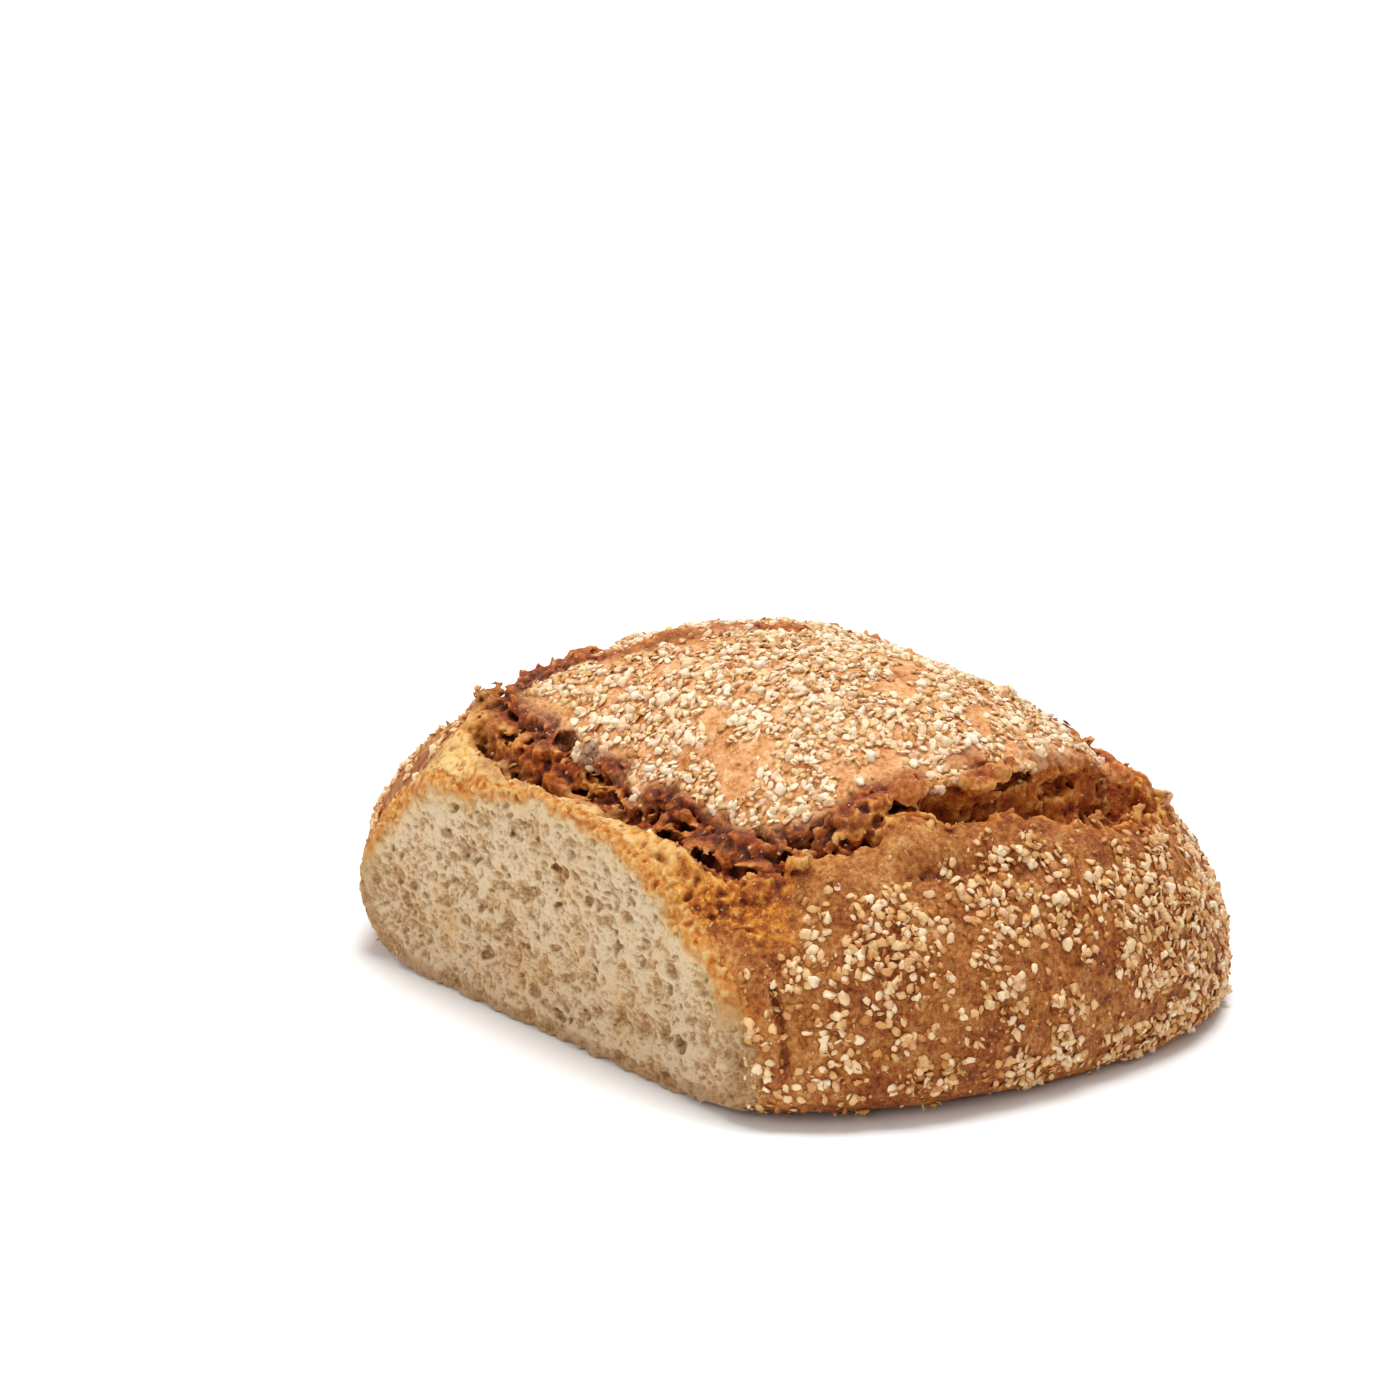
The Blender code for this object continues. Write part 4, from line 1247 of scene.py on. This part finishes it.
def crumb_material(specks):
    """Soft cream crumb toasted towards the rim, with painted shade in bubbles and painted light where proud.
    """
    material, nodes, shader = new_material("crumb", 0.7, flesh=0.12)
    patches = nodes.noise(13 * MM, 3.0, 0.6)
    mottle = nodes.noise(2.4 * MM, 4.0, 0.65)
    fibre = nodes.noise(0.9 * MM, 4.0, 0.75, (1.0, 0.7, 1.0))
    hollow, lit_where_proud, gold = (nodes.mask(name) for name in ("hollow", "lit_where_proud", "gold"))

    # Darker in hollows and lighter where the crumb stands proud: painted shade in its pits and painted light
    # on its tops.
    tone = nodes.blend((hollow, -0.48), (lit_where_proud, 0.40), (mottle, 0.45), (fibre, 1.35), (0.5, -0.36))
    base = nodes.ramp(tone, *CRUMB_CREAMS)
    warmer = nodes.mix(1.0, base, colour(*CRUMB_WARMTH), "MULTIPLY")
    base = nodes.mix(nodes.band(patches, 0.5, 0.75), base, warmer)
    base = tinted(nodes, base, speck_mask(nodes, specks, 5 * MM, 0.24, 0.38), 0.35, CRUMB_SPOT)
    glow = nodes.maths("MULTIPLY", nodes.band(gold, 0.0, 0.6), 0.75)
    base = nodes.mix(glow, base, nodes.mix(0.5, base, colour(*RIM_GLOW)))
    golden_tone = nodes.blend((mottle, 0.8), (fibre, 0.3), (hollow, 0.3), (0.5, -0.3))
    base = nodes.mix(nodes.band(gold, 0.55, 1.0), base, nodes.ramp(golden_tone, *CRUMB_GOLDS))
    # Tan near the crust is the crumb's own colour; the same tan towards its foot is painted shade.
    tan_and_shade_tone = nodes.blend((mottle, 0.5), (fibre, 0.5))
    base = nodes.mix(nodes.mask("tan"), base, nodes.ramp(tan_and_shade_tone, *CRUMB_TANS_AND_SHADE))
    finish_with_bump(nodes, shader, base, nodes.blend((fibre, 1.4), (mottle, 0.4)), 0.9 * MM)
    return material


def grain_material(name, roughness, browning, flesh=0.0):
    """Dry toasted grain whose colour goes with the tone, the edge and the toasting of each piece."""
    material, nodes, shader = new_material(name, roughness, flesh)
    mottle = nodes.noise(1.5 * MM, 3.0, 0.6)
    base = nodes.ramp(nodes.blend((nodes.mask("tone"), 0.75), (mottle, 0.25)), *GRAIN_TONES[name])
    toast = nodes.blend((nodes.mask("toast"), 1.0), (nodes.mask("edge"), nodes.band(mottle, 0.45, 0.85)))
    base = use(nodes, browning, Colour=base, Amount=toast).outputs["Colour"]
    finish_with_bump(nodes, shader, base, nodes.noise(0.7 * MM, 3.0, 0.6), 0.25 * MM)
    return material


# ---------------------------------------------------------------- grains, flakes, husks and crumbs


def ball(subdivisions):
    """The corners and triangles of an even round ball of radius 1."""
    mesh = bmesh.new()
    bmesh.ops.create_icosphere(mesh, subdivisions=subdivisions, radius=1.0)
    points = np.array([vert.co for vert in mesh.verts])
    triangles = np.array([[vert.index for vert in face.verts] for face in mesh.faces])
    mesh.free()
    return points, triangles


def ringed_ball(rings, sides):
    """A ball of radius 1 in rings about Z, for shapes that are flattened along Z."""
    points = [(0.0, 0.0, 1.0)]
    for ring in range(rings):
        polar = math.pi * (ring + 1) / (rings + 1)
        for side in range(sides):
            turn = math.tau * (side + ring / 2) / sides
            wide = math.sin(polar)
            points.append((wide * math.cos(turn), wide * math.sin(turn), math.cos(polar)))
    points.append((0.0, 0.0, -1.0))
    last = len(points) - 1
    triangles = []
    for side in range(sides):
        after = (side + 1) % sides
        triangles.append((0, 1 + side, 1 + after))
        for ring in range(rings - 1):
            a, b = 1 + ring * sides + side, 1 + ring * sides + after
            triangles += [(a, a + sides, b), (b, a + sides, b + sides)]
        triangles.append((last - sides + side, last, last - sides + after))
    return np.array(points), np.array(triangles)


def lumpy(points, count, lumps, height, roughness, draw):
    """That many copies of a ball, each with its own lumps and roughness."""
    lobes = draw.normal(size=(count, lumps, 3))
    lobes /= np.linalg.norm(lobes, axis=2, keepdims=True)
    along = np.clip(np.einsum("vk,nlk->nvl", points, lobes), 0, 1)
    size = 1 - height / 2 + height * (along**4).max(axis=2) + draw.normal(0, roughness, (count, len(points)))
    return points[None] * size[..., None]


def curled(shapes, curl):
    """Bends each shape round its X axis by its own amount."""
    angle = shapes[..., 1] * curl[:, None]
    radius = 1 / curl[:, None] - shapes[..., 2]
    y = radius * np.sin(angle)
    z = 1 / curl[:, None] - radius * np.cos(angle)
    return np.stack((shapes[..., 0], y, z), axis=-1)


def laid(shapes, places, normals, rise, tilt, draw):
    """Lays each shape on the surface, turned at random, tilted a little and raised to its height."""
    count = len(places)
    facing = normals + draw.normal(0, tilt, (count, 3))
    facing /= np.linalg.norm(facing, axis=1, keepdims=True)
    side = np.cross(facing, draw.normal(size=(count, 3)))
    side /= np.linalg.norm(side, axis=1, keepdims=True)
    axes = np.stack((side, np.cross(facing, side), facing), axis=1)
    return np.einsum("nvk,nkj->nvj", shapes, axes) + (places + normals * rise)[:, None]


def spread(places, spacing, count):
    """Thins places out so that each is a spacing from those kept before it."""
    kept, taken = [], {}
    for index, place in enumerate(places):
        cell = tuple(int(value) for value in np.floor(place / spacing))
        around_cell = (taken.get(tuple(np.add(cell, step)), ()) for step in product((-1, 0, 1), repeat=3))
        others = (other for group in around_cell for other in group)
        if all(np.sum((place - places[other]) ** 2) > spacing**2 for other in others):
            kept.append(index)
            taken.setdefault(cell, []).append(index)
        if len(kept) == count:
            break
    return np.array(kept)


class Ground:
    """The crust that grains lie on, and how thickly they lie at each triangle."""

    def __init__(self, points, triangles, normals, masks):
        self.points, self.triangles, self.normals = points, triangles, normals
        a, b, c = (points[triangles[:, k]] for k in range(3))
        self.area = np.linalg.norm(np.cross(b - a, c - a), axis=1) / 2
        self.middle = (a + b + c) / 3
        self.masks = {name: values[triangles].mean(axis=1) for name, values in masks.items()}
        self.density = self.measure_density()

    def measure_density(self):
        """Thick on the lid and at the end, in clusters on the wall, and none on torn dough."""
        points, masks = self.middle, self.masks
        x, y, z = points.T
        clump = fractal(points, CLUMP_SIZE, 2, 61)
        fine = fractal(points, CLUMP_DETAIL, 2, 65)
        on_lid = step_between(*LID_COVER, clump + 0.8 * fine + LID_COVER_TO_END * x)
        on_lid *= masks["lid"] * step_between(0.5, 0.1, masks["rim"])
        bias = FOOT_COVER * within("grain_foot", z)
        bias += END_COVER * within("grain_end", x - 0.25 * y - 12 * MM)
        clusters = step_between(*WALL_COVER, clump + 0.7 * fine + bias)
        placed = np.zeros(len(points))
        for place_x, place_y, place_z, size in GRAIN_CLUSTERS:
            away = np.sum((points - np.array((place_x, place_y, place_z)) * MM) ** 2, axis=1)
            fringe = np.maximum(0.3, 1 + 0.8 * fine)
            placed = np.maximum(placed, np.exp(-away / (size * 1.15 * MM) ** 2 * fringe))
        in_front = within("grain_front", y) * within("grain_front_end", x)
        on_wall = clusters * (1 - in_front) + np.maximum(placed, 0.22 * clusters) * in_front
        torn = np.maximum(masks["torn"], np.maximum(masks["tear"], masks["rim"] * (1 - masks["lid"])))
        bare = step_between(0.05, 0.45, np.maximum(torn, 0.20 * masks["ridge"]))
        clear = within("grain_above_floor", z) * within("grain_behind_cut", x - CUT_X)
        return (1.1 * on_lid + (1 - masks["lid"]) * on_wall) * (1 - bare) * clear + 1e-9

    def scatter(self, kind, draw):
        """Places, normals and masks for one kind of grain."""
        start, full, everywhere, spacing, count = GRAIN_SPREAD[kind]
        density = step_between(start, full, self.density) + everywhere
        weight = self.area * density
        picked = draw.choice(len(weight), count * 6, p=weight / weight.sum())
        a, b, c = (self.points[self.triangles[picked, k]] for k in range(3))
        s, t = draw.random((2, len(picked), 1))
        over = s + t > 1
        s, t = np.where(over, 1 - s, s), np.where(over, 1 - t, t)
        places = a + (b - a) * s + (c - a) * t
        kept = spread(places, spacing, count)
        picked = picked[kept]
        normals = self.normals[self.triangles[picked]].mean(axis=1)
        normals /= np.linalg.norm(normals, axis=1, keepdims=True)
        return places[kept], normals, {name: values[picked] for name, values in self.masks.items()}


def build_grains(name, shapes, triangles, edge, found, material, draw):
    """Joins the shapes into one piece, with a tone and a toasting for each."""
    low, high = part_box("loaf")
    kept = ((shapes > np.array(low)) & (shapes < np.array(high))).all(axis=(1, 2))
    shapes, found = shapes[kept], {label: values[kept] for label, values in found.items()}
    count, corners, _ = shapes.shape
    edge = edge[kept] if edge.ndim == 2 else edge
    toast = 0.55 * found["rim"] + 0.30 * found["ridge"] + draw.normal(0, 0.12, count)
    masks = {
        "tone": np.repeat(np.clip(0.75 * draw.random(count) + 0.38 * found["lid"], 0, 1), corners),
        "toast": np.repeat(np.clip(toast, 0, 1), corners),
        "edge": np.broadcast_to(edge, (count, corners)).ravel(),
    }
    joined = (triangles[None] + np.arange(count)[:, None, None] * corners).reshape(-1, 3)
    build_piece(name, shapes.reshape(-1, 3), joined, masks, material)


def popped_grains(ground, browning, draw):
    """White burst grains with round lobes."""
    points, triangles = ball(2)
    places, normals, found = ground.scatter("popped_grains", draw)
    count = len(places)
    shapes = lumpy(points, count, 7, 0.85, 0.08, draw)
    crease = 1.5 * (1.15 - np.linalg.norm(shapes, axis=2)).clip(0, 0.6)
    shapes = shapes * draw.uniform(1.0, 1.75, (count, 1, 1)) * MM
    shapes[..., 1] *= draw.uniform(0.80, 1.0, (count, 1))
    shapes[..., 2] *= draw.uniform(0.60, 0.85, (count, 1))
    shapes = laid(shapes, places, normals, 0.30 * MM, 0.35, draw)
    material = grain_material("popped_grain", 0.55, browning, 0.15)
    build_grains("popped_grains", shapes, triangles, crease, found, material, draw)


def rolled_flakes(ground, browning, draw):
    """Cream oval flakes, a little curled."""
    points, triangles = ringed_ball(3, 7)
    places, normals, found = ground.scatter("rolled_flakes", draw)
    count = len(places)
    shapes = lumpy(points, count, 4, 0.45, 0.11, draw) * (1, 0.70, 0.24)
    shapes = curled(shapes, draw.uniform(0.3, 1.2, count))
    shapes = shapes * draw.triangular(0.9, 1.3, 2.3, (count, 1, 1)) * MM
    shapes = laid(shapes, places, normals, 0.35 * MM, 0.34, draw)
    material = grain_material("rolled_flake", 0.55, browning)
    edge = 0.75 * np.hypot(points[:, 0], points[:, 1]) ** 4
    build_grains("rolled_flakes", shapes, triangles, edge, found, material, draw)


def husks(ground, browning, draw):
    """Thin tan husks, pointed and curled up."""
    points, triangles = ringed_ball(2, 6)
    places, normals, found = ground.scatter("husks", draw)
    count = len(places)
    shapes = lumpy(points, count, 3, 0.3, 0.08, draw) * (1.0, 0.8, 0.12)
    shapes[..., 1] *= np.sqrt(np.maximum(0.08, 1 - shapes[..., 0] ** 2))
    shapes = curled(shapes, draw.uniform(0.6, 2.2, count)) * draw.uniform(0.9, 2.0, (count, 1, 1)) * MM
    shapes = laid(shapes, places, normals, 0.40 * MM, 0.55, draw)
    material = grain_material("husk", 0.45, browning)
    edge = 0.8 * np.hypot(points[:, 0], points[:, 1]) ** 4
    build_grains("husks", shapes, triangles, edge, found, material, draw)


def grain_crumbs(ground, browning, draw):
    """Small broken bits between the grains and, fewer, all over the crust."""
    points, triangles = ball(1)
    places, normals, found = ground.scatter("grain_crumbs", draw)
    count = len(places)
    shapes = lumpy(points, count, 3, 0.6, 0.06, draw) * draw.uniform(0.3, 0.85, (count, 1, 1)) * MM
    shapes *= draw.uniform(0.55, 1.3, (count, 1, 3))
    shapes = laid(shapes, places, normals, 0.10 * MM, 0.6, draw)
    material = grain_material("grain_crumb", 0.55, browning)
    build_grains("grain_crumbs", shapes, triangles, np.zeros(len(points)), found, material, draw)


# ---------------------------------------------------------------- the loaf


def join_meshes(first, second):
    """Two meshes of the same kind as one list of points, triangles, normals and masks."""
    points, triangles, normals, masks = first
    more_points, more_triangles, more_normals, more_masks = second
    return (
        np.vstack((points, more_points)),
        np.vstack((triangles, more_triangles + len(points))),
        np.vstack((normals, more_normals)),
        {name: np.concatenate((masks[name], more_masks[name])) for name in masks},
    )


def in_middle_of_foot(crust, points, height, depth, behind_cut):
    """Whether the loaf is that deep at a height above each point, well behind the cut face."""
    deep = crust.block.sample(points + UP * height, crust.skin) < -depth
    return deep & (points[:, 0] > CUT_X + behind_cut)


def build_crust(plan, form, browning, specks, draw):
    """Builds the crust's pieces, and returns the finely grown crust and the ground for the grains."""
    coarse, fine = Crust(SMOOTH_CELL, form), Crust(TORN_CELL, form)
    bars, shards = rim_bars(plan, draw), rim_shards(plan, draw)
    for crust in (coarse, fine):
        crust.grow(plan, bars, shards, crust is fine)
    holes = torn_holes(fine.block, plan, draw) + skin_holes(coarse.block)
    for crust in (coarse, fine):
        for hole in holes:
            crust.block.hollow(*hole)
        crust.cut()

    material = crust_material(browning, specks)
    points, triangles, normals, masks = coarse.mesh(plan)
    middle = points[triangles].mean(axis=1)
    under = in_middle_of_foot(coarse, middle, *FOOT_HOLE) & (middle[:, 2] < FOOT_THICKNESS)
    kept = (fine_side(middle, plan) < SEAM_OVERLAP) & ~under
    triangles, middle = triangles[kept], middle[kept]
    on_lid = (plan.look(middle)[0] < 0) & (middle[:, 2] > LID_LOWEST)
    build_piece("lid_crust", points, triangles[on_lid], masks, material, normals)
    build_piece("wall_crust", points, triangles[~on_lid], masks, material, normals)
    smooth_part = (points, triangles, normals, masks)

    points, triangles, normals, masks = fine.mesh(plan)
    middle = points[triangles].mean(axis=1)
    kept = fine_side(middle, plan) > 0
    triangles, middle = triangles[kept], middle[kept]
    in_front = middle[:, 1] < TORN_SPLIT_Y
    build_piece("torn_crust_front", points, triangles[in_front], masks, material, normals)
    build_piece("torn_crust_back", points, triangles[~in_front], masks, material, normals)
    build_base(coarse, material)
    return fine, Ground(*join_meshes(smooth_part, (points, triangles, normals, masks)))


def build_base(crust, material):
    """The flat middle of the foot, in wide squares that lie a hair above the crust's own foot."""
    low, high = (np.array(corner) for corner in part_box("loaf"))
    across, deep = (np.arange(low[axis], high[axis], BASE_CELL) for axis in (0, 1))
    x, y = np.meshgrid(across, deep, indexing="ij")
    points = np.stack((x, y, np.full_like(x, BASE_LIFT)), axis=-1).reshape(-1, 3)
    inside = in_middle_of_foot(crust, points, *FOOT_FILLING)
    index = np.arange(len(points)).reshape(x.shape)
    a, b, c, d = (part.ravel() for part in (index[:-1, :-1], index[1:, :-1], index[1:, 1:], index[:-1, 1:]))
    triangles = np.vstack((np.stack((a, c, b), 1), np.stack((a, d, c), 1)))
    triangles = triangles[inside[triangles].all(axis=1)]
    flat = np.full(len(points), 0.5)
    masks = {"hollow": flat, "ridge": flat * 1.6}
    masks.update({name: flat * 0 for name in ("torn", "lid", "rim", "tear", "by_cut", "cut_side_shade", "ash")})
    build_piece("foot_crust", points, triangles, masks, material)


def build_crumb(crust, specks, draw):
    block = grow_crumb(crust, draw)
    points, triangles = block.surface()
    triangles = largest_body(points, triangles)
    front = points[:, 0] < CUT_X + CRUMB_DEPTH - 1 * MM
    triangles = triangles[front[triangles].all(axis=1)]
    from_skin = -crust.block.sample(points, crust.skin) + 0.9 * MM * fractal(points, 4 * MM, 2, 71)
    height = points[:, 2]
    tan = within("crumb_tan", from_skin) * within("crumb_tan_top", height)
    masks = {
        # Depth behind the face and hollowness, for painted light on the crumb's tops and painted shade in
        # its pits.
        "lit_where_proud": np.clip(1 - (points[:, 0] - CUT_X) / CRUMB_PROUD_DEPTH, 0, 1),
        "hollow": block.hollowness(points, CRUMB_HOLLOW_REACH),
        "gold": within("crumb_gold", from_skin) * within("crumb_gold_foot", height),
        # Tan near the crust, and painted shade towards the foot.
        "tan": np.maximum(0.75 * tan, 0.22 * within("crumb_foot_shade", height)),
    }
    build_piece("crumb_face", points, triangles, masks, crumb_material(specks))


def build_loaf():
    draw = np.random.default_rng(SEED)
    plan = RimPlan()
    browning, specks = browning_effect(), specks_effect()
    crust, ground = build_crust(plan, loaf_form(), browning, specks, draw)
    build_crumb(crust, specks, draw)
    popped_grains(ground, browning, draw)
    rolled_flakes(ground, browning, draw)
    husks(ground, browning, draw)
    grain_crumbs(ground, browning, draw)


# ---------------------------------------------------------------- camera, floor and lights


def aim(obj, place, target):
    """Puts an object at a place, looking at the target, upright."""
    back = (place - target).normalized()
    right = Vector((0, 0, 1)).cross(back).normalized()
    facing = Matrix((right, back.cross(right), back)).transposed().to_4x4()
    obj.matrix_world = Matrix.Translation(place) @ facing


def place_camera():
    data = bpy.data.cameras.new("camera")
    data.lens, data.sensor_width = LENS, SENSOR
    data.clip_start, data.clip_end = 0.05, 20.0
    camera = bpy.data.objects.new("camera", data)
    bpy.context.scene.collection.objects.link(camera)
    flat = math.cos(VIEW_ELEVATION)
    back = Vector((math.sin(VIEW_AZIMUTH) * flat, -math.cos(VIEW_AZIMUTH) * flat, math.sin(VIEW_ELEVATION)))
    aim(camera, VIEW_TARGET + back * VIEW_DISTANCE, VIEW_TARGET)
    bpy.context.scene.camera = camera


def far_light(name, place, power, softness):
    """Light from far away in the direction of a place, softened by its spread in degrees."""
    data = bpy.data.lights.new(name, "SUN")
    data.energy, data.angle = power, math.radians(softness)
    light = bpy.data.objects.new(name, data)
    bpy.context.scene.collection.objects.link(light)
    aim(light, Vector(place), Vector((0, 0, 0)))


def build_studio():
    mesh = bpy.data.meshes.new("studio_floor")
    corners = ((-1, -1), (1, -1), (1, 1), (-1, 1))
    mesh.from_pydata([(x * FLOOR_REACH, y * FLOOR_REACH, 0) for x, y in corners], [], [(0, 1, 2, 3)])
    material, _, shader = new_material("pale_floor", 0.9)
    shader.inputs["Base Color"].default_value = (0.95, 0.95, 0.95, 1.0)
    shader.inputs["Specular IOR Level"].default_value = 0.1
    mesh.materials.append(material)
    floor = bpy.data.objects.new("studio_floor", mesh)
    bpy.context.scene.collection.objects.link(floor)
    world = bpy.data.worlds.new("studio")
    world.use_nodes = True
    background = world.node_tree.nodes["Background"]
    background.inputs["Color"].default_value = (1.0, 1.0, 1.0, 1.0)
    background.inputs["Strength"].default_value = SKY_STRENGTH
    bpy.context.scene.world = world
    for name, (place, power, softness) in LIGHTS.items():
        far_light(name, place, power, softness)
    bpy.context.scene.view_settings.view_transform = "Standard"


place_camera()
build_loaf()
build_studio()
